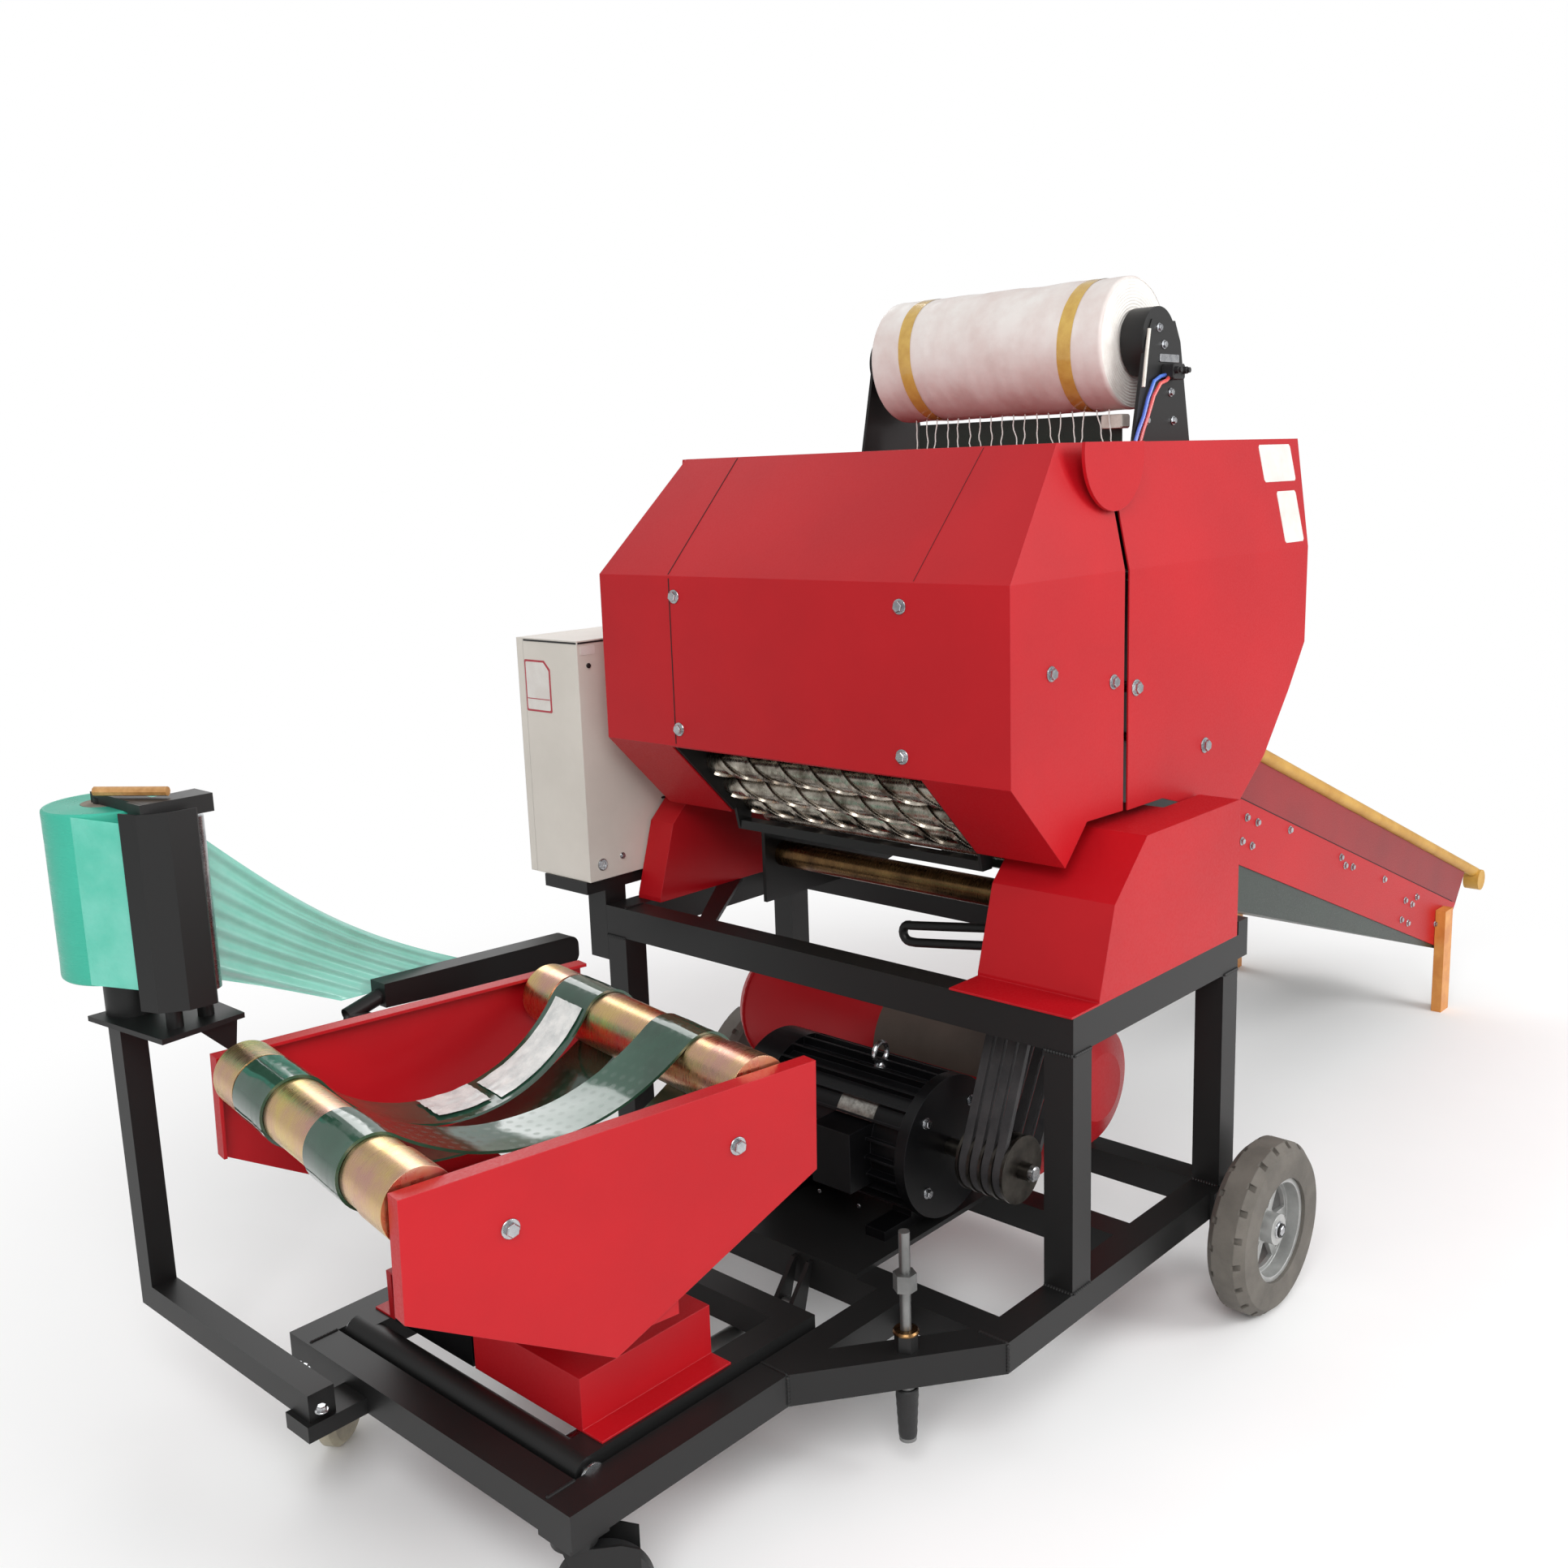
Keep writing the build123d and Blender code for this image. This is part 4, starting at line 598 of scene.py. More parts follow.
def dress_nodes() -> int:
    """Gives every solid of the machine its finish.

    Returns:
        How many solids were dressed.
    """
    count = 0
    for finish, names in NODE_FINISHES.items():
        for name in names:
            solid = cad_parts.get(name)
            if solid is None:
                continue
            for slot in solid.material_slots:
                slot.material = finish.value.material()
            count += 1
    missed = set(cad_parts) - {name for names in NODE_FINISHES.values() for name in names}
    if missed:
        logger.warning("solids without a finish: %s", sorted(missed))
    return count


@dataclass(frozen=True)
class Seat:
    """A place on the machine, the way out of its surface and the way up on it.

    Args:
        place: X, Y and Z in millimetres from the ground point.
        facing: The way out.
        upward: The way up.
    """

    place: Place
    facing: Place = (0.0, 0.0, 1.0)
    upward: Place = (0.0, 0.0, 1.0)

    def matrix(self) -> Matrix:
        """Gives the matrix that lays local X across, local Y up and local Z out.

        Returns:
            The matrix, in millimetres.
        """
        out = Vector(self.facing).normalized()
        hint = Vector(self.upward).normalized()
        if abs(out.dot(hint)) > 0.99:
            hint = Vector((1.0, 0.0, 0.0))
        across = hint.cross(out).normalized()
        up = out.cross(across)
        turn = Matrix((across, up, out)).transposed().to_4x4()
        return Matrix.Translation(self.place) @ turn


def round_angles(count: int, lead: float = 0.0) -> list[float]:
    """Gives that many angles round a full turn, the first one ahead by a share of a step."""
    return [math.tau * (index + lead) / count for index in range(count)]


def upright_ring(centre: Flat, size: float, level: float, count: int) -> list[Vector]:
    """Gives points on a level circle about an upright axis."""
    return [
        Vector((centre[0] + size * math.cos(a), centre[1] + size * math.sin(a), level)) for a in round_angles(count)
    ]


def scale_taper(count: int, thin: float, swell: float) -> list[float]:
    """Gives the share of its radius that a weld bead has at each point, with one scale every three points."""
    return [thin + swell * ((index % SCALE_STEPS) / (SCALE_STEPS - 1)) for index in range(count)]


class Workpiece:
    """A piece in the making, in the machine's own millimetres."""

    WASHER_SHARE = 0.78
    WASHER_SHEET = 1.8
    WASHER_EDGE = 0.5
    CROWN_START = 0.8
    CROWN_SHARE = 0.84
    HEAD_LEAD = 0.3

    def __init__(self, name: str) -> None:
        """Starts an empty piece.

        Args:
            name: The piece's name.
        """
        self.name = name
        self.mesh = bmesh.new()

    def grid(self, rows: list[list[Vector]], closed: bool = False) -> list[list[bmesh.types.BMVert]]:
        """Joins rows of points into one skin.

        Args:
            rows: Rows of equally many points.
            closed: Whether each row's end meets its start.

        Returns:
            The skin's corners, row by row.
        """
        verts = [[self.mesh.verts.new(point) for point in row] for row in rows]
        width = len(rows[0])
        last = width if closed else width - 1
        for lower, upper in zip(verts, verts[1:]):
            for index in range(last):
                after = (index + 1) % width
                self.mesh.faces.new((lower[index], lower[after], upper[after], upper[index]))
        return verts

    def barrel(self, rings: list[list[Vector]], foot: bool = True, head: bool = True) -> None:
        """Joins rings of points into a skin with a flat face at each end.

        Args:
            rings: The rings, from the foot up.
            foot: Whether the first ring is closed.
            head: Whether the last ring is closed.
        """
        verts = self.grid(rings, closed=True)
        if foot:
            self.mesh.faces.new(list(reversed(verts[0])))
        if head:
            self.mesh.faces.new(verts[-1])

    def lathe(self, profile: Sequence[Flat], seat: Seat, segments: int = 24) -> None:
        """Turns a profile of radius and height about the seat's way out, with closed ends.

        Args:
            profile: Radius and height of each step.
            seat: Where the foot of the axis is.
            segments: How many flats go round.
        """
        turn = seat.matrix()
        rings = [
            [turn @ Vector((radius * math.cos(a), radius * math.sin(a), height)) for a in round_angles(segments)]
            for radius, height in profile
        ]
        self.barrel(rings, foot=profile[0][0] > 0, head=profile[-1][0] > 0)

    def slab(self, outline: Sequence[Flat], thickness: float, seat: Seat, bevel: float = 0.0) -> None:
        """Makes a flat plate with softened edges.

        Args:
            outline: Its corners across and up, anticlockwise seen from outside.
            thickness: How far it stands out.
            seat: Where its local zero is.
            bevel: Width of the softened edge.
        """
        turn = seat.matrix()
        middle = Vector((sum(x for x, _ in outline), sum(y for _, y in outline), 0.0)) / len(outline)
        levels = [(0.0, 0.0), (thickness, 0.0)]
        if bevel:
            levels = [(0.0, 0.0), (thickness - bevel, 0.0), (thickness, bevel)]
        rings = []
        for height, inset in levels:
            corners = [Vector((x, y, 0.0)) for x, y in outline]
            near = [corner - (corner - middle).normalized() * inset for corner in corners]
            rings.append([turn @ Vector((point.x, point.y, height)) for point in near])
        self.barrel(rings)

    def pipe(
        self, points: Sequence[Place], radius: float, segments: int = 10, taper: list[float] | None = None
    ) -> None:
        """Sweeps a round bar along points, with closed ends.

        Args:
            points: The middle of the bar.
            radius: Its radius.
            segments: How many flats go round.
            taper: A share of the radius for each point.
        """
        line = [Vector(point) for point in points]
        rings = []
        side = None
        for index, point in enumerate(line):
            ahead = line[min(index + 1, len(line) - 1)] - line[max(index - 1, 0)]
            ahead.normalize()
            if side is None:
                hint = Vector((0.0, 0.0, 1.0)) if abs(ahead.z) < 0.9 else Vector((1.0, 0.0, 0.0))
                side = ahead.cross(hint).normalized()
            side = (side - ahead * side.dot(ahead)).normalized()
            up = ahead.cross(side)
            size = radius * (taper[index] if taper else 1.0)
            rings.append([point + (side * math.cos(a) + up * math.sin(a)) * size for a in round_angles(segments)])
        self.barrel(rings)

    def bolt(self, seat: Seat, across: float = 13.0, height: float = 6.0, washer: bool = True) -> None:
        """Adds a hexagon bolt head with a chamfered crown on a washer.

        Args:
            seat: Where it sits and which way it faces.
            across: Width over its flats.
            height: Height of the head.
            washer: Whether it has a washer under it.
        """
        base = 0.0
        if washer:
            rim = across * self.WASHER_SHARE
            base = self.WASHER_SHEET
            self.lathe([(rim, 0.0), (rim, 1.2), (rim - self.WASHER_EDGE, base)], seat, 20)
        turn = seat.matrix()
        corner = across / math.sqrt(3.0)
        levels = ((1.0, base), (1.0, base + height * self.CROWN_START), (self.CROWN_SHARE, base + height))
        self.barrel([
            [
                turn @ Vector((corner * share * math.cos(a), corner * share * math.sin(a), level))
                for a in round_angles(6, self.HEAD_LEAD)
            ]
            for share, level in levels
        ])

    def weld(self, start: Place, end: Place, radius: float = 3.2, pitch: float = 5.0) -> None:
        """Lays a weld bead with its overlapping scales.

        Args:
            start: Where the bead begins.
            end: Where it ends.
            radius: Half its width.
            pitch: Distance from one scale to the next.
        """
        low, high = Vector(start), Vector(end)
        steps = max(4, int((high - low).length / pitch) * SCALE_STEPS)
        points = [tuple(low.lerp(high, index / steps)) for index in range(steps + 1)]
        taper = scale_taper(steps + 1, 0.8, 0.26)
        taper[0] = taper[-1] = 0.5
        self.pipe(points, radius, 8, taper)

    def to_object(
        self, finish: Finishes, body: str, crease_degrees: float = 32.0
    ) -> bpy.types.Object:
        """Turns the work into a piece of the machine that rides on a body.

        Args:
            finish: Its finish.
            body: The body that carries it.
            crease_degrees: Edges sharper than this stay sharp.

        Returns:
            The piece.
        """
        bmesh.ops.recalc_face_normals(self.mesh, faces=self.mesh.faces)
        bmesh.ops.transform(self.mesh, matrix=Matrix.Scale(MM, 4), verts=self.mesh.verts)
        bmesh.ops.translate(self.mesh, vec=GROUND_POINT, verts=self.mesh.verts)
        mesh = bpy.data.meshes.new(self.name)
        self.mesh.to_mesh(mesh)
        self.mesh.free()
        mesh.shade_smooth()
        mesh.set_sharp_from_angle(angle=math.radians(crease_degrees))
        mesh.materials.append(finish.value.material())
        piece = bpy.data.objects.new(self.name, mesh)
        bpy.context.scene.collection.objects.link(piece)
        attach(piece, body)
        logger.info("built %s with %d faces", self.name, len(mesh.polygons))
        return piece


def box_outline(width: float, height: float, cut: float = 0.0) -> list[Flat]:
    """Gives a rectangle's corners about its middle, anticlockwise, with its corners cut.

    Args:
        width: Size across.
        height: Size up.
        cut: How much each corner loses.

    Returns:
        The corners.
    """
    x, y = width / 2, height / 2
    if not cut:
        return [(-x, -y), (x, -y), (x, y), (-x, y)]
    return [
        (cut - x, -y), (x - cut, -y), (x, cut - y), (x, y - cut),
        (x - cut, y), (cut - x, y), (-x, y - cut), (-x, cut - y),
    ]


def circle_points(
    centre: Place, across: Place, up: Place, radius: float, start: float, end: float, count: int
) -> list[Place]:
    """Gives points on an arc.

    Args:
        centre: Its centre.
        across: The way to angle nothing.
        up: The way to angle ninety.
        radius: Its radius.
        start: First angle in degrees.
        end: Last angle in degrees.
        count: How many points.

    Returns:
        The points.
    """
    points = []
    for index in range(count):
        angle = math.radians(start + (end - start) * index / (count - 1))
        points.append(tuple(
            centre[axis] + radius * (across[axis] * math.cos(angle) + up[axis] * math.sin(angle)) for axis in range(3)
        ))
    return points


def arc_points(centre: Flat, radius: float, start: float, end: float, count: int) -> list[Flat]:
    """Gives points on an arc in a plane, with angles in radians."""
    angles = [start + (end - start) * step / (count - 1) for step in range(count)]
    return [(centre[0] + radius * math.cos(a), centre[1] + radius * math.sin(a)) for a in angles]


def bearing(centre: Flat, point: Flat) -> float:
    """Gives the angle in radians at which a point is seen from a centre."""
    return math.atan2(point[1] - centre[1], point[0] - centre[0])


@dataclass
class Loop:
    """A closed belt that runs round a path in a plane, with slow waves across its width.

    Args:
        outer: Points of its outside, in the plane.
        inner: Points of its inside, one for each outer point.
        low: Where its near edge is, across the plane.
        high: Where its far edge is.
        wave: Height of the waves in millimetres.
        steps: How many strips its width has.
        wave_rate: How fast the waves follow one another along the belt, in noise units per millimetre.
        cross_rate: How much faster they follow one another across it.
    """

    outer: list[Flat]
    inner: list[Flat]
    low: float
    high: float
    wave: float = 0.6
    steps: int = 8
    wave_rate: float = 0.012
    cross_rate: float = 1.6

    def skin(self, work: Workpiece, place: Matrix) -> None:
        """Adds the belt to a piece.

        Args:
            work: The piece.
            place: Matrix that carries (path across, belt width, path up) to the machine.
        """
        widths = [self.low + (self.high - self.low) * step / self.steps for step in range(self.steps + 1)]
        rows = []
        for (out_x, out_z), (in_x, in_z) in zip(self.outer, self.inner):
            away = Vector((out_x - in_x, 0.0, out_z - in_z)).normalized()
            top, under = [], []
            for y in widths:
                rise = self.wave * noise.noise(Vector((out_x, y * self.cross_rate, out_z)) * self.wave_rate)
                top.append(place @ (Vector((out_x, y, out_z)) + away * rise))
                under.append(place @ (Vector((in_x, y, in_z)) + away * max(rise, 0.0)))
            rows.append(top + list(reversed(under)))
        rows.append(rows[0])
        work.grid(rows, closed=True)


@dataclass
class Undercarriage:
    """Hubs, axle nuts, jack fittings and weld beads of the two frames."""

    wheel_x: float = 472.0
    wheel_z: float = 147.0
    hub_face: float = 612.0
    cap_depth: float = 12.0
    cap_profile: tuple[Flat, ...] = ((20.0, 0), (20.0, 5), (18.5, 7), (15.0, 7.5), (14.0, 12), (11.0, 14))
    caster_axles: tuple[tuple[float, float, str], ...] = ((-752.0, -307.9, "right"), (-750.1, 305.5, "left"))
    caster_axle_z: float = 62.5
    caster_angles: tuple[float, float] = (-40.0, 35.0)
    axle_reach: float = 24.0
    half_width: float = 508.0
    half_narrow: float = 320.5
    frame_length: float = 507.0
    tube: float = 50.0
    lower_top: float = 199.0
    lower_low: float = 151.0
    upper_low: float = 575.0
    frame_top: float = 632.0
    kink_rear: float = -167.0
    kink_front: float = -424.0
    frame_front: float = -809.0
    brace_x: float = -142.0
    bead_margin: float = 2.0
    thin_bead: float = 2.6
    jack: Flat = (-268.0, -405.0)
    boot_low: float = 58.0
    boot_foot: tuple[Flat, ...] = ((9, 0), (11, 2))
    boot_head: tuple[Flat, ...] = ((16.4, 80), (15, 82))
    boot_radius: float = 12.8
    boot_widening: float = 0.35
    boot_rib: float = 0.5
    boot_rib_pitch: float = 7.0
    boot_steps: int = 11
    nut_top: float = 225.4
    ring_profile: tuple[Flat, ...] = ((8.6, 0), (19, 0), (19, 2), (17, 4.4), (8.6, 4.4), (8.6, 0))

    def build_hubs(self) -> None:
        """Puts a domed cap and a nut on each wheel's hub."""
        for side, name in ((-1, "right"), (1, "left")):
            facing = (0, side, 0)
            cap = Workpiece(f"hub_cap_{name}")
            foot = side * (self.hub_face - self.cap_depth)
            cap.lathe(self.cap_profile, Seat((self.wheel_x, foot, self.wheel_z), facing), 28)
            cap.bolt(Seat((self.wheel_x, side * (self.hub_face + 1.0), self.wheel_z), facing), 15, 5, False)
            cap.to_object(Finishes.BRIGHT_ZINC, f"wheel_{name}")

    def build_axle_nuts(self) -> None:
        """Puts a nut on each end of the casters' axles."""
        for (x, y, name), angle in zip(self.caster_axles, self.caster_angles):
            across = Vector((-math.sin(math.radians(angle)), math.cos(math.radians(angle)), 0.0))
            nuts = Workpiece(f"caster_nuts_{name}")
            for side in SIDES:
                point = Vector((x, y, self.caster_axle_z)) + across * side * self.axle_reach
                nuts.bolt(Seat(tuple(point), tuple(across * side)), 13, 5)
            nuts.to_object(Finishes.BRIGHT_ZINC, f"caster_{name}")

    def build_welds(self) -> None:
        """Lays the beads at the posts, kinks and corners of the frames."""
        beads = Workpiece("frame_welds")
        tube, margin, thin = self.tube, self.bead_margin, self.thin_bead
        low, top = self.lower_low, self.lower_top
        post_places = (0.0, self.frame_length - tube)
        for side in SIDES:
            outer, inner = side * self.half_width, side * (self.half_width - tube)
            narrow, narrow_inner = side * self.half_narrow, side * (self.half_narrow - tube)
            for x in post_places:
                for z in (top + 0.5, self.upper_low - 0.5):
                    for y in (outer, inner):
                        beads.weld((x + margin, y, z), (x + tube - margin, y, z))
                    for edge in (x, x + tube):
                        beads.weld((edge, inner, z), (edge, outer, z))
            for x, y in ((self.kink_rear, outer), (self.kink_front, narrow)):
                beads.weld((x, y, low + margin), (x, y, top - margin))
            for start, end in (
                ((self.kink_rear - 1, outer), (self.kink_rear - 1, inner)),
                ((self.kink_front, narrow), (self.kink_front, narrow_inner)),
                ((self.frame_front + 4, narrow_inner), (self.frame_front + tube, narrow_inner)),
            ):
                beads.weld((*start, top), (*end, top), thin)
            for x in post_places:
                beads.weld((x + margin, inner, self.frame_top), (x + tube - margin, inner, self.frame_top), thin)
        for x in (self.brace_x - tube / 2, self.brace_x + tube / 2):
            for side in SIDES:
                inner = side * (self.half_width - tube)
                beads.weld((x, inner, low + 3), (x, inner, top - 3), thin)
        beads.to_object(Finishes.BLACK_ENAMEL, "chassis")

    def build_jack(self) -> None:
        """Puts the tapered rubber boot on the jack's foot and a bronze ring on top of the frame's nut."""
        boot = Workpiece("jack_boot")
        ribs = [
            (
                self.boot_radius + self.boot_widening * step + (self.boot_rib if step % 2 else 0.0),
                6 + self.boot_rib_pitch * step,
            )
            for step in range(self.boot_steps)
        ]
        boot.lathe([*self.boot_foot, *ribs, *self.boot_head], Seat((*self.jack, self.boot_low)), 32)
        boot.to_object(Finishes.BLACK_MOULDING, "jack")
        ring = Workpiece("jack_cone")
        rows = [upright_ring(self.jack, size, self.nut_top + level, 28) for size, level in self.ring_profile]
        ring.grid(rows, closed=True)
        ring.to_object(Finishes.BRONZE, "chassis")

    def build(self) -> None:
        """Builds the fittings of the undercarriage."""
        self.build_hubs()
        self.build_axle_nuts()
        self.build_welds()
        self.build_jack()


@dataclass
class Chamber:
    """Bolts, seams and blank plates of the gate and the rear hood."""

    gate_front: float = -38.0
    gate_low: float = 963.0
    gate_break: float = 1251.0
    gate_top: float = 1442.0
    gate_ridge: float = 143.0
    hood_half: float = 429.0
    hood_top_half: float = 387.0
    front_bolts: tuple[Flat, ...] = ((243, 1217), (245, 993), (-235, 1216), (-235, 993))
    side_bolts: tuple[Flat, ...] = ((64, 1117), (235, 1085))
    studs: tuple[Flat, ...] = ((302, 1068), (528, 943))
    seam_y: Flat = (257.0, 252.0)
    crease_y: float = -260.0
    seam_width: float = 2.2
    crease_width: float = 1.0
    seam_height: float = 0.35
    # Side, width, height, and the middle's X and Z of each blank plate.
    plates: tuple[tuple[int, float, float, float, float], ...] = (
        (-1, 122, 66, 838, 1400), (-1, 74, 92, 852, 1306), (1, 122, 66, 838, 1400),
    )

    def side_seat(self, side: int, x: float, z: float) -> Seat:
        """Gives the seat of a fitting on a hood side, upright below the break and leaning above.

        Args:
            side: Minus one for the near side, one for the far side.
            x: Place along the machine.
            z: Height.

        Returns:
            The seat.
        """
        rise = max(0.0, z - self.gate_break)
        lean = (self.hood_half - self.hood_top_half) / (self.gate_top - self.gate_break)
        y = self.hood_half - rise * lean
        tilt = lean if rise else 0.0
        return Seat((x, side * y, z), (0.0, side * 1.0, tilt), (0.0, 0.0, 1.0))

    def build_bolts(self) -> None:
        """Puts the bolts on the gate's front and both sides."""
        bolts = Workpiece("gate_bolts")
        for y, z in self.front_bolts:
            bolts.bolt(Seat((self.gate_front, y, z), (-1, 0, 0)), 15, 6)
        for side in SIDES:
            for x, z in self.side_bolts:
                bolts.bolt(self.side_seat(side, x, z), 15, 6)
        bolts.to_object(Finishes.BRIGHT_ZINC, "gate")
        nuts = Workpiece("stud_nuts")
        for side in SIDES:
            for x, z in self.studs:
                nuts.bolt(self.side_seat(side, x, z), 17, 7)
        nuts.to_object(Finishes.BRIGHT_ZINC, "chassis")

    def build_seams(self) -> None:
        """Draws the seam down the gate's front and roof as a thin dark line, and a finer one across from it."""
        seams = Workpiece("gate_seams")
        length = self.gate_break - self.gate_low - 8
        middle = (self.gate_break + self.gate_low) / 2
        seams.slab(
            box_outline(self.seam_width, length),
            self.seam_height,
            Seat((self.gate_front, sum(self.seam_y) / 2, middle), (-1, 0, 0)),
        )
        run_x, run_z = self.gate_ridge - self.gate_front, self.gate_top - self.gate_break
        slope = math.hypot(run_x, run_z)
        facing = (-run_z / slope, 0.0, run_x / slope)
        centre_x, centre_z = self.gate_front + run_x / 2, self.gate_break + run_z / 2
        for y, width in ((self.seam_y[0], self.seam_width), (self.crease_y, self.crease_width)):
            seat = Seat((centre_x, y, centre_z), facing, (run_x / slope, 0.0, run_z / slope))
            seams.slab(box_outline(width, slope - 6), self.seam_height, seat)
        seams.to_object(Finishes.SHADOW_GAP, "gate")

    def build_plates(self) -> None:
        """Lays the blank plates on the rear hood's leaning sides."""
        plates = Workpiece("hood_blank_plates")
        for side, width, height, x, z in self.plates:
            plates.slab(box_outline(width, height, 4), 0.9, self.side_seat(side, x, z), 0.3)
        plates.to_object(Finishes.BLANK_PLATE, "chassis")

    def build(self) -> None:
        """Builds the fittings of the chamber."""
        self.build_bolts()
        self.build_seams()
        self.build_plates()


@dataclass
class NetRack:
    """The net roll with its tape, loose threads and valve, and the board behind it."""

    x: float = 603.0
    z: float = 1609.0
    radius: float = 112.0
    half: float = 245.0
    core: float = 38.0
    spindle: float = 14.0
    spindle_half: float = 287.7
    cone_profile: tuple[Flat, ...] = ((32.0, 0), (32.0, 3), (24, 16), (20, 20), (20, 28), (18, 29))
    bracket_face: float = 294.0
    segments: int = 96
    shoulder_steps: tuple[float, ...] = (0.0, 1.2, 3.5, 7.0)
    turn_step: float = 2.6
    tape_bands: tuple[Flat, ...] = ((165.0, 9.0), (-175.0, -7.0))
    tape_width: float = 27.0
    thread_count: int = 18
    thread_first: float = -215.0
    thread_pitch: float = 24.5
    thread_radius: float = 1.1
    roof: Flat = (524.0, 1443.2)
    bracket_bolts: tuple[Flat, ...] = ((598, 1630), (615, 1603), (640, 1525), (560, 1478), (650, 1478))
    hub_circle: float = 42.0
    valve: Flat = (630.0, 1558.0)
    valve_depth: float = 22.0
    ports: tuple[Flat, ...] = ((616, 1560), (644, 1560))
    port_profile: tuple[Flat, ...] = ((6, 0), (6, 7), (4.5, 8), (4.5, 12))
    hose_radius: float = 3.2
    rod_radius: float = 3.0
    red_hose: tuple[Place, ...] = (
        (612, -306, 1548), (600, -308, 1543), (582, -307, 1538), (566, -304, 1518), (552, -302, 1486),
        (540, -300, 1462), (534, -298, 1444),
    )
    blue_hose: tuple[Place, ...] = (
        (612, -300, 1553), (594, -300, 1550), (574, -300, 1542), (556, -299, 1514), (542, -299, 1484),
        (528, -298, 1462), (520, -297, 1444),
    )
    rod: tuple[Place, ...] = ((556, -300, 1626), (549, -300, 1590), (543, -300, 1555), (539, -300, 1532))

    def roll_radius(self, y: float, angle: float) -> float:
        """Gives the wound roll's radius, which swells and dips a little.

        Args:
            y: Place along the roll.
            angle: Angle round it.

        Returns:
            The radius.
        """
        point = Vector((math.cos(angle) * 1.4, math.sin(angle) * 1.4, y * 0.022))
        swell = noise.noise(point) * 1.8 + noise.noise(point * 4.0) * 0.6
        return self.radius - 1.6 + swell

    def roll_point(self, y: float, angle: float, size: float) -> Vector:
        """Gives the point at that distance from the roll's axis."""
        return Vector((self.x + size * math.cos(angle), y, self.z + size * math.sin(angle)))

    def end_point(self, side: int, size: float, height: float, angle: float) -> Vector:
        """Gives a point on an end of the roll, where the turns' edges waver.

        Args:
            side: Minus one for the near end, one for the far end.
            size: Distance from the axis.
            height: How far it stands out.
            angle: Angle round the axis.

        Returns:
            The point.
        """
        waver = 0.5 * noise.noise(Vector((math.cos(angle), math.sin(angle), size)))
        point = self.roll_point(side * (self.half + height - 0.4), angle, size)
        point.x = self.x + (size + waver) * math.cos(angle)
        return point

    def build_roll(self) -> None:
        """Winds the roll: soft shoulders and ringed ends."""
        work = Workpiece("net_roll_wound")
        steps = [-self.half + value for value in self.shoulder_steps]
        steps += [self.half * (share / 14 - 1) for share in range(1, 28)]
        steps += [self.half - value for value in reversed(self.shoulder_steps)]
        rows = []
        for y in steps:
            drop = max(0.0, 5.0 - (self.half - abs(y))) ** 2 * 0.16
            rows.append([
                self.roll_point(y, angle, self.roll_radius(y, angle) - drop) for angle in round_angles(self.segments)
            ])
        work.grid(rows, closed=True)
        work.to_object(Finishes.NET_THREAD, "net_roll", 50.0)
        ends = Workpiece("net_roll_ends")
        for side in SIDES:
            profile = []
            radius = self.radius - 5.0
            while radius > self.core:
                profile.append((radius, -0.9 if len(profile) % 2 else 0.0))
                radius -= self.turn_step
            profile.append((self.core, -1.0))
            rings = [
                [self.end_point(side, size, height, angle) for angle in round_angles(self.segments)]
                for size, height in profile
            ]
            ends.grid(rings, closed=True)
        ends.to_object(Finishes.NET_EDGE, "net_roll", 25.0)

    def build_core(self) -> None:
        """Puts the board core, the spindle and its two end cones in."""
        core = Workpiece("net_roll_core")
        profile = ((self.core, 0), (self.core, 33), (self.core - 1, 34), (self.core - 8, 34))
        for side in SIDES:
            core.lathe(profile, Seat((self.x, side * (self.half - 30), self.z), (0, side, 0)), 48)
        core.to_object(Finishes.CORE_BOARD, "net_roll")
        rod = Workpiece("net_roll_spindle")
        length = 2 * self.spindle_half
        foot = Seat((self.x, -self.spindle_half, self.z), (0, 1, 0))
        rod.lathe(((self.spindle, 0), (self.spindle, length)), foot, 36)
        for side in SIDES:
            rod.lathe(self.cone_profile, Seat((self.x, side * (self.half + 3), self.z), (0, side, 0)), 36)
        rod.to_object(Finishes.BRIGHT_ZINC, "net_roll")

    def build_tape(self) -> None:
        """Wraps the two tape bands, each a little askew."""
        tape = Workpiece("net_roll_tape")
        for middle, skew in self.tape_bands:
            rows = []
            for index in range(self.segments + 1):
                angle = math.tau * index / self.segments
                places = [
                    middle + skew * math.sin(angle) + share * self.tape_width for share in (-0.5, -0.17, 0.17, 0.5)
                ]
                rows.append([self.roll_point(y, angle, self.roll_radius(y, angle) + 0.9) for y in places])
            tape.grid(rows)
        tape.to_object(Finishes.YELLOW_TAPE, "net_roll")

    def build_threads(self) -> None:
        """Lets the loose threads run from the roll's underside to the roof."""
        threads = Workpiece("net_threads")
        for index in range(self.thread_count):
            y = self.thread_first + index * self.thread_pitch
            drift = -34 - 26 * noise.noise(Vector((index * 0.7, 0.0, 0.0)))
            start = Vector((self.x - 30, y, self.z - self.radius + 3.2))
            foot_x = self.roof[0] + 10 * noise.noise(Vector((0.0, index * 0.9, 0.0)))
            end = Vector((foot_x, y + drift, self.roof[1]))
            points = []
            for step in range(9):
                share = step / 8
                slack = math.sin(math.pi * share)
                point = start.lerp(end, share)
                point.y += 7 * noise.noise(Vector((index * 1.3, share * 2.5, 4.0))) * slack
                point.z -= 5 * slack
                points.append(tuple(point))
            threads.pipe(points, self.thread_radius, 6)
        threads.to_object(Finishes.NET_STRAND, "chassis")

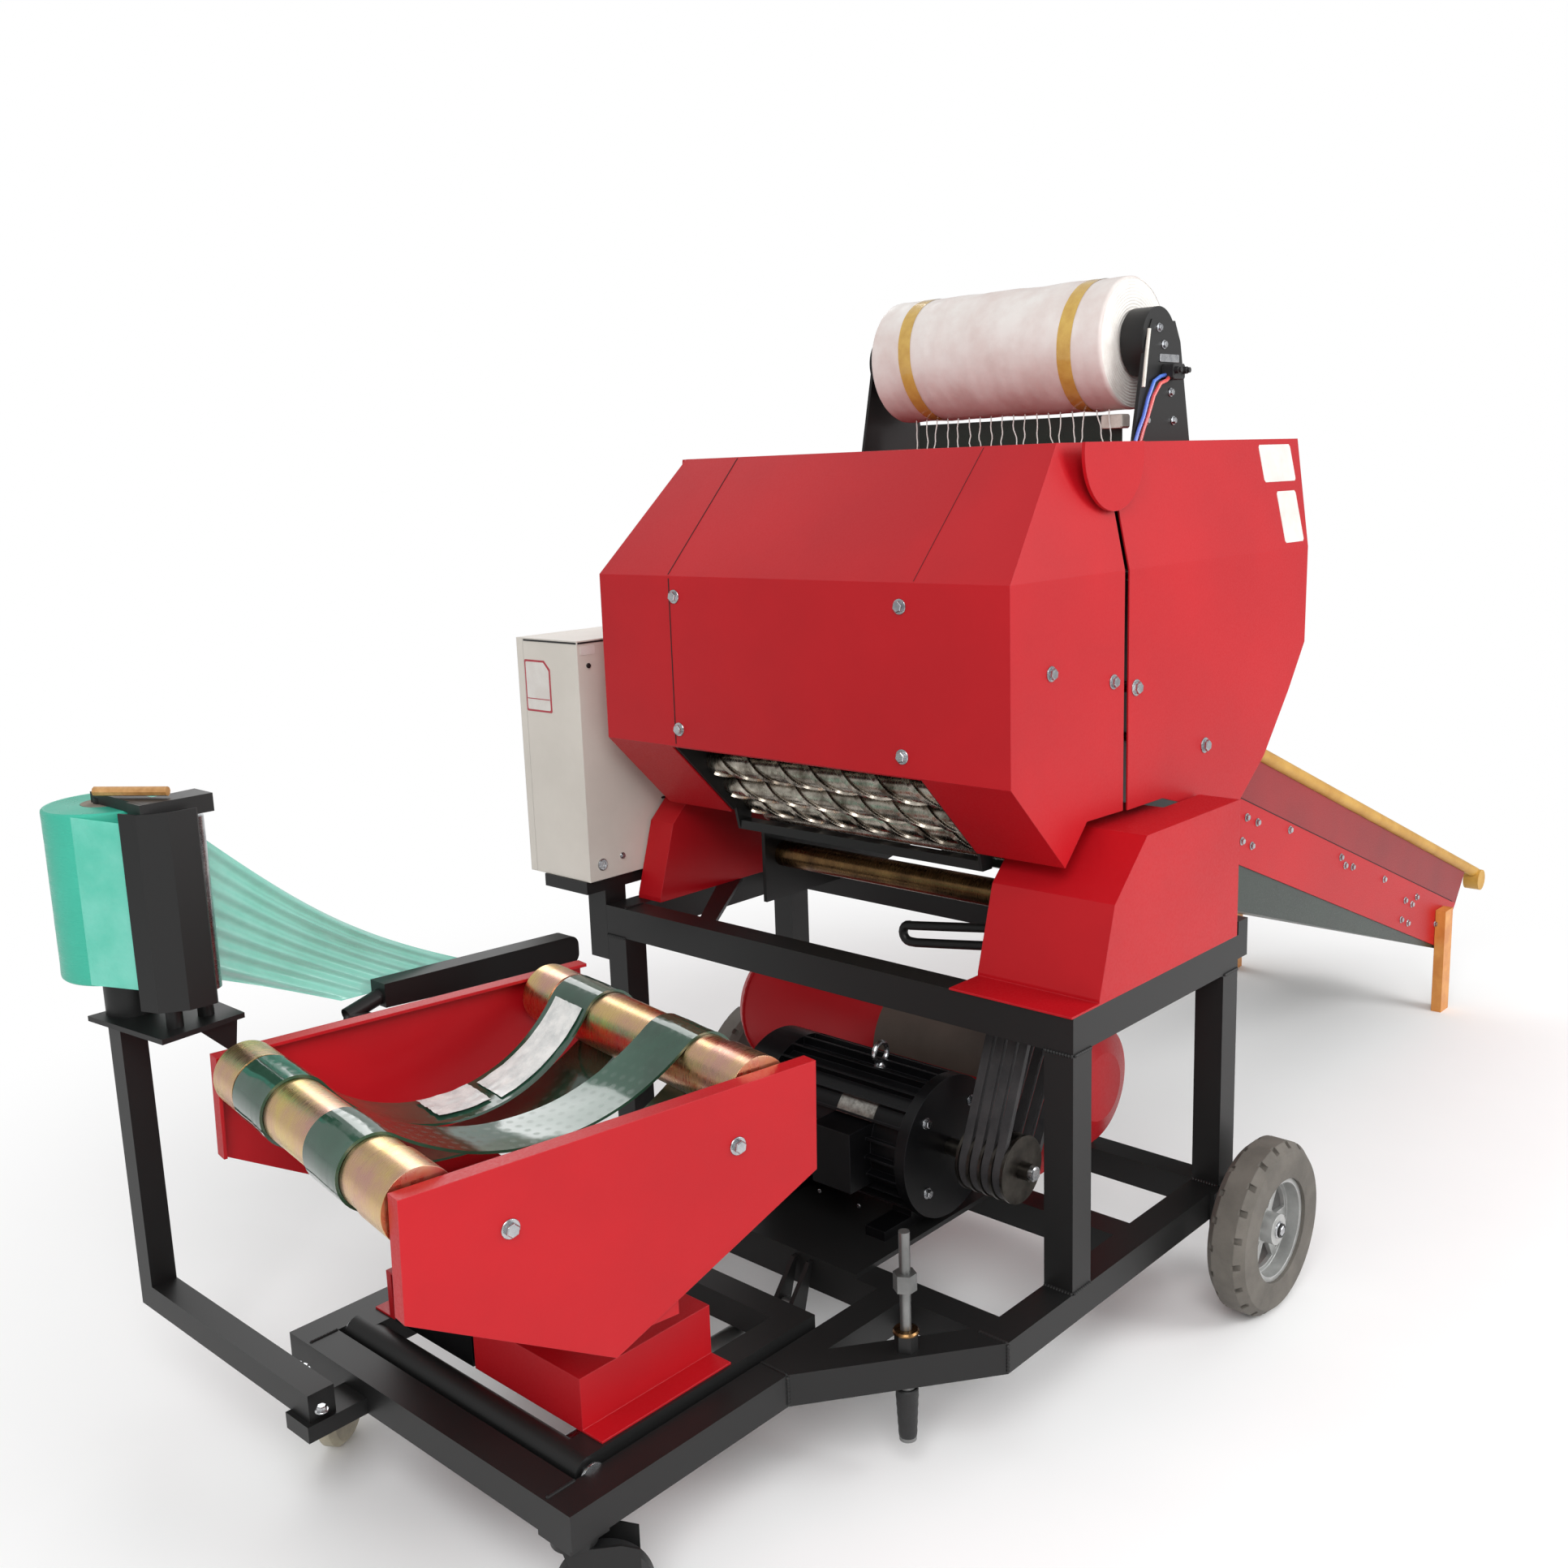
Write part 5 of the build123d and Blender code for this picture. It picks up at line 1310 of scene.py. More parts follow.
    def build_bracket(self) -> None:
        """Puts the bolts and the valve on the near bracket, and the hub's bolts on the far one."""
        face = -self.bracket_face
        outward = (0, -1, 0)
        bolts = Workpiece("net_bracket_bolts")
        for x, z in self.bracket_bolts:
            bolts.bolt(Seat((x, face, z), outward), 10, 4)
        for degrees in range(20, 380, 60):
            angle = math.radians(degrees)
            x, z = self.x + self.hub_circle * math.cos(angle), self.z + self.hub_circle * math.sin(angle)
            bolts.bolt(Seat((x, self.bracket_face, z), (0, 1, 0)), 8, 3, False)
        bolts.slab(box_outline(65, 13, 1.5), 2, Seat((632.5, face, 1581), outward), 0.4)
        bolts.to_object(Finishes.BRIGHT_ZINC, "chassis")
        valve = Workpiece("net_brake_valve")
        valve.slab(
            box_outline(40, 26, 3), self.valve_depth, Seat((self.valve[0], face, self.valve[1]), outward), 1.5,
        )
        for x, z in self.ports:
            valve.lathe(self.port_profile, Seat((x, face - self.valve_depth, z), outward), 16)
        valve.to_object(Finishes.BLACK_MOULDING, "chassis")

    def build_hoses(self) -> None:
        """Runs the two air hoses from the valve to the roof, and the thin rod beside them."""
        for name, path, radius, finish, slot in (
            ("air_hose_red", self.red_hose, self.hose_radius, Finishes.RED_HOSE, "rubber"),
            ("air_hose_blue", self.blue_hose, self.hose_radius, Finishes.BLUE_HOSE, "rubber"),
            ("brake_rod", self.rod, self.rod_radius, Finishes.NYLON, "net"),
        ):
            line = Workpiece(name)
            line.pipe(path, radius)
            line.to_object(finish, "chassis")

    def build_guide(self) -> None:
        """Sets the guide board behind the threads, with its block."""
        board = Workpiece("net_guide_board")
        board.slab(box_outline(440, 50, 3), 5, Seat((609, 0, 1467.6), (-1, 0, 0)), 1.0)
        board.to_object(Finishes.GREEN_PAINT, "chassis")
        block = Workpiece("net_guide_block")
        block.slab(box_outline(42, 24, 3), 26, Seat((604, -216, 1480), (-1, 0, 0)), 2.0)
        block.to_object(Finishes.NYLON, "chassis")

    def build(self) -> None:
        """Builds the net roll and its fittings."""
        self.build_roll()
        self.build_core()
        self.build_tape()
        self.build_threads()
        self.build_bracket()
        self.build_hoses()
        self.build_guide()
        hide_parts("net_roll")


@dataclass
class ControlCabinet:
    """Blank plates, lock, screws, lid joint and slots of the switch cabinet, and its door's handle."""

    x_low: float = -40.0
    x_high: float = 260.0
    y_low: float = 500.0
    y_high: float = 655.0
    z_high: float = 1130.0
    plate_y: float = 616.5
    plate_z: float = 1042.0
    plate_size: Flat = (73.0, 96.0)
    plate_cut: float = 14.0
    plate_line_z: float = 1018.0
    small_plate: Flat = (-16.0, 1112.0)
    latch: Flat = (-16.0, 1084.0)
    lock: Flat = (-10.0, 713.0)
    lock_profile: tuple[Flat, ...] = ((11, 0), (11, 2.5), (9.5, 3.5), (6, 3.5), (6, 2.6), (0.5, 2.6))
    screw_x: Flat = (40, 180)
    screw_z: Flat = (720, 1095)
    slot_x: float = 180.0
    slot_low: float = 800.0
    slot_pitch: float = 12.0
    slot_count: int = 7
    handle_x: float = -5.0
    handle_z: float = 905.0

    def near(self, x: float, z: float) -> Seat:
        """Gives a seat on the side toward the machine."""
        return Seat((x, self.y_low, z), (0, -1, 0))

    def front(self, y: float, z: float) -> Seat:
        """Gives a seat on the front."""
        return Seat((self.x_low, y, z), (-1, 0, 0))

    def build_plates(self) -> None:
        """Lays the blank plates, the large one with its cut corner and red border."""
        outline = box_outline(*self.plate_size, 2)
        outline[4] = (outline[4][0] - self.plate_cut, outline[4][1])
        outline[3] = (outline[3][0], outline[3][1] - self.plate_cut)
        border = Workpiece("cabinet_plate_border")
        border.slab(outline, 0.7, self.front(self.plate_y, self.plate_z))
        border.to_object(Finishes.RED_BORDER, "chassis")
        plate = Workpiece("cabinet_blank_plate")
        plate.slab([(x * 0.9, y * 0.925) for x, y in outline], 1.0, self.front(self.plate_y, self.plate_z))
        plate.slab(box_outline(34, 16, 2), 0.8, self.near(*self.small_plate))
        plate.to_object(Finishes.BLANK_PLATE, "chassis")
        line = Workpiece("cabinet_plate_line")
        line.slab(box_outline(64, 1.6), 1.3, self.front(self.plate_y, self.plate_line_z))
        line.to_object(Finishes.RED_BORDER, "chassis")

    def build_fittings(self) -> None:
        """Adds the lock, the screws, the joint under the lid and the slots."""
        metal = Workpiece("cabinet_locks")
        metal.lathe(self.lock_profile, self.near(*self.lock), 28)
        for x in self.screw_x:
            for z in self.screw_z:
                metal.bolt(self.near(x, z), 8, 3)
        metal.to_object(Finishes.BRIGHT_ZINC, "chassis")
        dark = Workpiece("cabinet_dark_fittings")
        dark.slab(box_outline(9, 9, 3), 3.0, self.near(*self.latch), 0.5)
        joint_z = self.z_high - 4
        dark.slab(box_outline(self.x_high - self.x_low - 4, 3), 1.2, self.near(110, joint_z))
        dark.slab(box_outline(150, 3), 1.2, self.front(577, joint_z))
        for index in range(self.slot_count):
            seat = self.near(self.slot_x, self.slot_low + index * self.slot_pitch)
            dark.slab(box_outline(70, 4, 1.8), 1.4, seat, 0.4)
        dark.to_object(Finishes.BLACK_MOULDING, "chassis")

    def build_handle(self) -> None:
        """Puts the door's handle on its foot plate."""
        handle = Workpiece("door_handle")
        for size, cut, thickness, lift, bevel in (((24, 70), 5, 5, 0.0, 1.5), ((14, 52), 4, 14, 4.0, 3.0)):
            seat = Seat((self.handle_x, self.y_high + lift, self.handle_z), (0, 1, 0))
            handle.slab(box_outline(*size, cut), thickness, seat, bevel)
        handle.to_object(Finishes.BLACK_MOULDING, "door")

    def build(self) -> None:
        """Builds the cabinet's fittings."""
        self.build_plates()
        self.build_fittings()
        self.build_handle()


@dataclass
class Drive:
    """The motor's plate and bolts, the shafts' caps, the guard's handle, and the tank's plate and beads."""

    motor: Flat = (60.0, 339.0)
    motor_radius: float = 103.0
    motor_face: float = -238.0
    motor_bolt_circle: float = 84.0
    eyebolt_y: float = -99.5
    eyebolt_z: float = 466.0
    eyebolt_profile: tuple[Flat, ...] = ((12, 0), (12, 4), (9, 6), (7, 10))
    box_face: float = -52.0
    box_bolts: tuple[Flat, ...] = ((-140, 248), (-140, 348), (-56, 248), (-56, 348))
    pulley_y: float = -397.0
    cap_profile: tuple[Flat, ...] = ((12, 0), (12, 6), (10, 8))
    main: Flat = (240.0, 716.0)
    handle_x: float = 300.0
    handle_upper: tuple[Flat, ...] = ((-286, 650), (-200, 638), (-60, 617), (22, 605))
    handle_lower: tuple[Flat, ...] = ((10, 575), (-60, 585), (-200, 606), (-286, 618))
    handle_bend: Flat = (24.0, 590.0)
    handle_bend_radius: float = 15.5
    tank: Flat = (350.0, 372.0)
    tank_radius: float = 118.0
    tank_seams: tuple[float, float] = (-304.0, 389.0)

    def round_plate(
        self, work: Workpiece, centre: Flat, radius: float, middle: float, spread: float, span: Flat, lift: float
    ) -> None:
        """Bends a thin plate round a body that lies along Y.

        Args:
            work: The piece.
            centre: X and Z of the body's axis.
            radius: Radius of the body.
            middle: Angle of the plate's middle in degrees.
            spread: Angle that it covers.
            span: Its ends along Y.
            lift: Its thickness.
        """
        steps = 12
        corners = ((radius, span[0]), (radius + lift, span[0]), (radius + lift, span[1]), (radius, span[1]))
        rows = []
        for index in range(steps + 1):
            angle = math.radians(middle + spread * (index / steps - 0.5))
            rows.append([
                Vector((centre[0] + size * math.cos(angle), y, centre[1] + size * math.sin(angle)))
                for size, y in corners
            ])
        work.barrel(rows)

    def build_motor(self) -> None:
        """Adds the motor's nameplate, eyebolt, shield bolts and the caps on both shafts."""
        x, z = self.motor
        near = (0, -1, 0)
        plate = Workpiece("motor_nameplate")
        self.round_plate(plate, self.motor, self.motor_radius + 0.2, 143, 17, (-154.0, -78.0), 1.4)
        plate.to_object(Finishes.TIN_PLATE, "chassis")
        metal = Workpiece("motor_bolts")
        ring = circle_points((x, self.eyebolt_y, self.eyebolt_z), (1, 0, 0), (0, 0, 1), 17, 0, 360, 33)
        metal.pipe(ring, 4.2, 10)
        metal.lathe(self.eyebolt_profile, Seat((x, self.eyebolt_y, z + self.motor_radius - 2)), 20)
        reach = self.motor_bolt_circle
        for index in range(4):
            angle = math.radians(45 + 90 * index)
            place = (x + reach * math.cos(angle), self.motor_face, z + reach * math.sin(angle))
            metal.bolt(Seat(place, near), 12, 6)
        for shaft_x, shaft_z in (self.motor, self.main):
            metal.lathe(self.cap_profile, Seat((shaft_x, self.pulley_y, shaft_z), near), 28)
        for y, level in self.box_bolts:
            metal.bolt(Seat((self.box_face, y, level), (-1, 0, 0)), 7, 2.5, False)
        metal.to_object(Finishes.BRIGHT_ZINC, "chassis")

    def build_handle(self) -> None:
        """Bends the black loop handle behind the guard."""
        loop = Workpiece("guard_handle")
        path = [(self.handle_x, y, z) for y, z in self.handle_upper]
        path += circle_points(
            (self.handle_x, *self.handle_bend), (0, 1, 0), (0, 0, 1), self.handle_bend_radius, 90, -90, 9,
        )
        path += [(self.handle_x, y, z) for y, z in self.handle_lower]
        loop.pipe(path, 8.5, 12)
        loop.to_object(Finishes.BLACK_ENAMEL, "chassis")

    def build_tank(self) -> None:
        """Lays the tan-grey plate on the tank's front and the beads round its ends."""
        plate = Workpiece("tank_front_plate")
        self.round_plate(plate, self.tank, self.tank_radius + 0.2, 152, 44, (-250.0, 60.0), 1.2)
        plate.to_object(Finishes.TAUPE_PAINT, "chassis")
        beads = Workpiece("tank_welds")
        count = 145
        for y in self.tank_seams:
            centre = (self.tank[0], y, self.tank[1])
            ring = circle_points(centre, (1, 0, 0), (0, 0, 1), self.tank_radius, 0, 360, count)
            beads.pipe(ring, 3.0, 8, scale_taper(count, 0.85, 0.3))
        beads.to_object(Finishes.RED_POWDER_COAT, "chassis")

    def build(self) -> None:
        """Builds the drive's fittings."""
        self.build_motor()
        self.build_handle()
        self.build_tank()


@dataclass
class Conveyor:
    """Side bolts, drum bearings, joint lines and the belt of the feed conveyor."""

    top: Flat = (700.0, 731.6)
    slope_degrees: float = 22.1
    length: float = 1552.0
    half: float = 272.7
    drums: tuple[float, float] = (50.0, 1502.0)
    drum_up: float = 74.0
    drum_radius: float = 38.0
    belt_half: float = 264.7
    belt_sheet: float = 4.0
    belt_play: float = 0.3
    belt_steps: int = 40
    joint_up: float = 126.0
    flange_profile: tuple[Flat, ...] = ((27, 0), (27, 3), (25, 4.5), (18, 5), (17, 9), (12, 10), (9, 14))
    flange_bolts: tuple[Flat, ...] = ((19, 19), (-19, 19), (19, -19), (-19, -19))
    bolts: tuple[Flat, ...] = (
        (1009, 709), (1056, 690), (990, 664), (1033, 646), (1207, 645), (1472, 531), (1496, 507), (1537, 495),
        (1724, 425), (1934, 334), (1861, 342), (1905, 322), (1841, 298), (1884, 279), (2070, 232),
    )

    def place(self, along: float, y: float, up: float) -> Place:
        """Turns a place on the slope into a place on the machine."""
        turn = math.radians(self.slope_degrees)
        x = self.top[0] + along * math.cos(turn) + up * math.sin(turn)
        return x, y, self.top[1] - along * math.sin(turn) + up * math.cos(turn)

    def matrix(self) -> Matrix:
        """Gives the matrix from (along, across, up) to the machine."""
        turn = math.radians(self.slope_degrees)
        base = Matrix((
            (math.cos(turn), 0.0, math.sin(turn)), (0.0, 1.0, 0.0), (-math.sin(turn), 0.0, math.cos(turn)),
        )).to_4x4()
        return Matrix.Translation((self.top[0], 0.0, self.top[1])) @ base

    def belt_path(self, size: float) -> list[Flat]:
        """Gives the closed path round both drums.

        Args:
            size: Its distance from the drums' centres.

        Returns:
            Points round the path.
        """
        path = []
        for start, end, side in ((*self.drums, 1), (*reversed(self.drums), -1)):
            level = self.drum_up + side * size
            path += [(start + (end - start) * step / self.belt_steps, level) for step in range(self.belt_steps)]
            quarter = math.pi / 2
            path += arc_points((end, self.drum_up), size, side * quarter, side * quarter - math.pi, 17)[:-1]
        return path

    def build_belt(self) -> None:
        """Builds the belt as a loop with slow waves."""
        inside = self.drum_radius + self.belt_play
        outer, inner = self.belt_path(inside + self.belt_sheet), self.belt_path(inside)
        belt = Workpiece("conveyor_belt_loop")
        Loop(outer, inner, -self.belt_half, self.belt_half, 1.1, 10).skin(belt, self.matrix())
        piece = belt.to_object(Finishes.GREEN_BELTING, "chassis", 60.0)
        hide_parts("conveyor_belt")

    def build_fittings(self) -> None:
        """Puts the bolts, bearing flanges and joint line on both sides."""
        bolts = Workpiece("conveyor_bolts")
        gaps = Workpiece("conveyor_joints")
        turn = math.radians(self.slope_degrees)
        for side in SIDES:
            facing = (0, side, 0)
            for x, z in self.bolts:
                bolts.bolt(Seat((x, side * self.half, z), facing), 11, 4.5)
            for along in self.drums:
                bolts.lathe(self.flange_profile, Seat(self.place(along, side * self.half, self.drum_up), facing), 32)
                for ahead, above in self.flange_bolts:
                    place = self.place(along + ahead, side * (self.half + 3.5), self.drum_up + above)
                    bolts.bolt(Seat(place, facing), 7, 3, False)
            middle = self.place(self.length / 2, side * self.half, self.joint_up)
            gaps.slab(
                box_outline(self.length - 4, 2.0), 0.5, Seat(middle, facing, (math.sin(turn), 0, math.cos(turn))),
            )
        bolts.to_object(Finishes.BRIGHT_ZINC, "chassis")
        gaps.to_object(Finishes.SHADOW_GAP, "chassis")

    def build(self) -> None:
        """Builds the conveyor's belt and fittings."""
        self.build_belt()
        self.build_fittings()


@dataclass
class Wrapper:
    """The turntable's bolts and its two slack belts with their cloth patches."""

    table_x: float = -621.0
    turn_degrees: float = 8.7
    roller_front: Flat = (-260.0, 615.0)
    roller_rear: Flat = (225.0, 615.0)
    roller_size: float = 45.3
    belt_width: float = 100.0
    belt_sheet: float = 4.0
    belts: tuple[Flat, ...] = ((-102.0, 316.0), (141.0, 163.0))
    low_centre: float = 300.0
    run_points: int = 41
    plate_half: float = 302.0
    bolt_x: tuple[float, float] = (-165, 165)
    bolt_z: float = 566.0
    # First and last point of the run, near and far share of the width, and height of the folds.
    patches: tuple[tuple[int, int, float, float, float], ...] = ((25, 40, 0.1, 0.86, 0.9), (17, 24, 0.2, 0.94, 2.2))
    patch_lift: float = 1.6

    def table_matrix(self) -> Matrix:
        """Gives the matrix from the table's own millimetres to the machine's."""
        turn = Matrix.Rotation(math.radians(-self.turn_degrees), 4, "Z")
        return Matrix.Translation((self.table_x, 0.0, 0.0)) @ turn

    def belt_path(self, size: float, top_centre: float) -> list[Flat]:
        """Gives a closed path round both rollers with a sagging upper run and a hanging lower run.

        Args:
            size: Distance of the path from the rollers' centres.
            top_centre: Height of the upper arc's centre above the rollers.

        Returns:
            Points round the path.
        """
        front, rear = self.roller_front, self.roller_rear
        middle = ((front[0] + rear[0]) / 2, (front[1] + rear[1]) / 2)
        span = rear[0] - front[0]
        runs = []
        for height, turn in ((top_centre, 1), (self.low_centre, -1)):
            centre = (middle[0], middle[1] + height)
            reach = math.hypot(span / 2, height) - turn * size
            half = math.atan2(span / 2, height)
            runs.append(arc_points(centre, reach, -math.pi / 2 - half, -math.pi / 2 + half, self.run_points))
        top, low = runs
        over_rear = arc_points(rear, size, bearing(rear, top[-1]), bearing(rear, low[-1]), 25)[1:-1]
        begin, stop = (bearing(front, run[0]) % math.tau for run in (low, top))
        over_front = arc_points(front, size, begin, stop, 25)[1:-1]
        return top + over_rear + list(reversed(low)) + over_front

    def build_belts(self) -> None:
        """Hangs both belts."""
        belts = Workpiece("wrap_belt_loops")
        for middle, top_centre in self.belts:
            outer = self.belt_path(self.roller_size + self.belt_sheet, top_centre)
            inner = self.belt_path(self.roller_size, top_centre)
            low, high = middle - self.belt_width / 2, middle + self.belt_width / 2
            Loop(outer, inner, low, high, 1.2, 8).skin(belts, self.table_matrix())
        piece = belts.to_object(Finishes.GREEN_BELTING, "turntable", 60.0)
        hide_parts("wrap_belts")

    def build_patches(self) -> None:
        """Lays the two cloth patches on the far belt, with ragged edges and folds."""
        place = self.table_matrix()
        patches = Workpiece("belt_patches")
        middle, top_centre = self.belts[1]
        size = self.roller_size + self.belt_sheet + self.patch_lift
        path = self.belt_path(size, top_centre)[:self.run_points]
        for first, last, low, high, crumple in self.patches:
            rows = []
            for index in range(first, last + 1):
                x, z = path[index]
                row = []
                for step in range(13):
                    share = low + (high - low) * step / 12
                    ragged = 4 * noise.noise(Vector((index * 0.6, step * 0.8, crumple)))
                    y = middle + (share - 0.5) * self.belt_width
                    lift = crumple * (1 + noise.noise(Vector((index * 0.9, step * 0.9, 2.0))))
                    row.append(place @ Vector((x + ragged * 0.4, y + ragged * 0.5, z + lift)))
                rows.append(row)
            patches.grid(rows)
        patches.to_object(Finishes.WHITE_PATCH, "turntable", 60.0)

    def build_bolts(self) -> None:
        """Puts two bolts on each end plate."""
        place = self.table_matrix()
        bolts = Workpiece("turntable_bolts")
        for side in SIDES:
            facing = tuple(place.to_3x3() @ Vector((0, side, 0)))
            for x in self.bolt_x:
                bolts.bolt(Seat(tuple(place @ Vector((x, side * self.plate_half, self.bolt_z))), facing), 16, 7)
        bolts.to_object(Finishes.BRIGHT_ZINC, "turntable")

    def build(self) -> None:
        """Builds the wrapping table's belts, patches and bolts."""
        self.build_belts()
        self.build_patches()
        self.build_bolts()


@dataclass
class FilmStand:
    """The film roll, the tan rod on its holder, the arm's bolts, and the sheet of film drawn to the clamp."""

    roll: Flat = (-855.0, 612.0)
    roll_low: float = 715.0
    roll_high: float = 971.0
    roll_radius: float = 92.0
    core: float = 38.0
    bore: float = 20.0
    turn_step: float = 3.2
    turn_edge: float = 0.6
    leave_roll: Flat = (-931.9, 561.5)
    front: Flat = (-850.0, 486.0)
    rear: Flat = (-795.0, 500.0)
    wrap: float = 27.8
    # Lower and upper edge of the film where it leaves the roll and where it leaves the rear roller.
    edges_at_roll: Flat = (718.0, 968.0)
    edges_at_rear: Flat = (700.0, 940.0)
    bar_face: float = 491.9
    bar_front: Flat = (-575.0, 608.5)
    bar_rear: Flat = (-295.0, 598.0)
    columns: int = 61
    run_rows: int = 28
    gathers: float = 7.0
    gather_depth: float = 8.0
    fold_depth: float = 6.0
    sag: float = 40.0
    belly: float = 14.0
    # The film is as wide as its roll. Its length follows its middle line: 108 mm from the roll, 134 mm
    # round both rollers and across their gap, and 418 mm to the middle of the clamp's bar.
    film_width_m: float = 0.25
    film_length_m: float = 0.659
    rod: tuple[Place, ...] = ((-888, 575, 996.5), (-856, 527, 996.5), (-824, 480, 996.5))
    arm_bolts: tuple[Place, ...] = ((-850, 226, 199), (-848, 214, 199), (-884, 107, 199))

    def roll_profile(self) -> list[Flat]:
        """Gives the wound roll's profile: ringed ends and soft shoulders.

        Returns:
            Radius and height of each step, from the core's foot out, up and in again.
        """
        height, radius, edge = self.roll_high - self.roll_low, self.roll_radius, self.turn_edge
        profile = []
        size, turn = self.core, 0
        while size < radius - 4:
            profile.append((size, edge if turn % 2 else 0.0))
            size += self.turn_step
            turn += 1
        profile += [(radius - 2.5, 0.6), (radius - 0.6, 2.6), (radius, 6.0)]
        for step in range(1, 16):
            swell = 0.5 * noise.noise(Vector((0.0, 0.0, step * 0.9)))
            profile.append((radius - 0.5 + swell, 6 + (height - 12) * step / 16))
        profile += [(radius, height - 6.0), (radius - 0.6, height - 2.6), (radius - 2.5, height - 0.6)]
        size = radius - 4
        while size > self.core:
            profile.append((size, height - (edge if turn % 2 else 0.0)))
            size -= self.turn_step
            turn += 1
        return profile + [(self.core, height - 0.4), (self.core, 0.2)]

    def build_roll(self) -> None:
        """Winds the film roll on its board core."""
        work = Workpiece("film_roll_wound")
        work.lathe(self.roll_profile(), Seat((*self.roll, self.roll_low)), 96)
        piece = work.to_object(Finishes.FILM_ROLL, "film_roll", 25.0)
        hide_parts("film_roll")
        core = Workpiece("film_roll_core")
        height, outside = self.roll_high - self.roll_low, self.core - 0.4
        profile = ((self.bore, 0), (outside, 0), (outside, height), (self.bore, height), (self.bore, 0))
        rows = [upright_ring(self.roll, size, self.roll_low + level, 48) for size, level in profile]
        core.grid(rows, closed=True)
        core.to_object(Finishes.CORE_BOARD, "film_roll")

    def plan_path(self) -> list[Flat]:
        """Gives the film's path seen from above, from the roll round both rollers."""
        path = [self.leave_roll]
        path += arc_points(self.front, self.wrap, math.radians(213), math.radians(360.9), 19)
        path += arc_points(self.rear, self.wrap, math.radians(180.9), math.radians(80.7), 13)
        return path

    def roller_rows(self) -> list[list[Vector]]:
        """Lays the film round the rollers.

        Returns:
            Upright rows of points, from the roll to where the film leaves the rear roller.
        """
        plan = self.plan_path()
        lengths = [0.0]
        for before, after in zip(plan, plan[1:]):
            lengths.append(lengths[-1] + math.dist(before, after))
        rows = []
        for length, (x, y) in zip(lengths, plan):
            share = length / lengths[-1]
            low, high = (
                start + (end - start) * share for start, end in zip(self.edges_at_roll, self.edges_at_rear)
            )
            last = self.columns - 1
            rows.append([Vector((x, y, low + (high - low) * step / last)) for step in range(self.columns)])
        return rows

    def run_point(self, start: Vector, side: float, share: float) -> Vector:
        """Gives a point of the film between the rear roller and the clamp's bar.

        Args:
            start: Where its thread leaves the roller.
            side: Its share of the width.
            share: Its share of the way.

        Returns:
            The point.
        """
        end = Vector((
            self.bar_front[0] + (self.bar_rear[0] - self.bar_front[0]) * side,
            self.bar_face,
            self.bar_front[1] + (self.bar_rear[1] - self.bar_front[1]) * side,
        ))
        point = start.lerp(end, share)
        slack = math.sin(math.pi * share)
        point.z -= self.sag * side * side * slack
        fan = self.gather_depth * math.sin(math.tau * self.gathers * side + 2.0 * share) * slack
        fold = self.fold_depth * noise.noise(Vector((side * 7.0, share * 2.4, 1.0))) * slack
        point.y += fan + fold + self.belly * slack
        return point

    def build_sheet(self) -> None:
        """Draws the sheet from the roll round the rollers and gathers it onto the clamp's bar."""
        rows = self.roller_rows()
        leave = rows[-1]
        for index in range(1, self.run_rows + 1):
            share = index / self.run_rows
            rows.append([
                self.run_point(start, step / (self.columns - 1), share) for step, start in enumerate(leave)
            ])
        sheet = Workpiece("film_sheet")
        sheet.grid(rows)
        piece = sheet.to_object(Finishes.FILM_SHEET, "chassis", 80.0)
        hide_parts("film_web")

    def build_fittings(self) -> None:
        """Lays the tan rod on the holder and puts the bolts on the arm."""
        wood = Workpiece("film_holder_tan")
        wood.pipe(self.rod, 7.0, 8)
        wood.to_object(Finishes.TAN_WOOD, "chassis")
        bolts = Workpiece("holder_bolts")
        for place in self.arm_bolts:
            bolts.bolt(Seat(place), 12, 6)
        bolts.to_object(Finishes.BRIGHT_ZINC, "chassis")

    def build(self) -> None:
        """Builds the film roll, the sheet and the fittings."""
        self.build_roll()
        self.build_sheet()
        self.build_fittings()


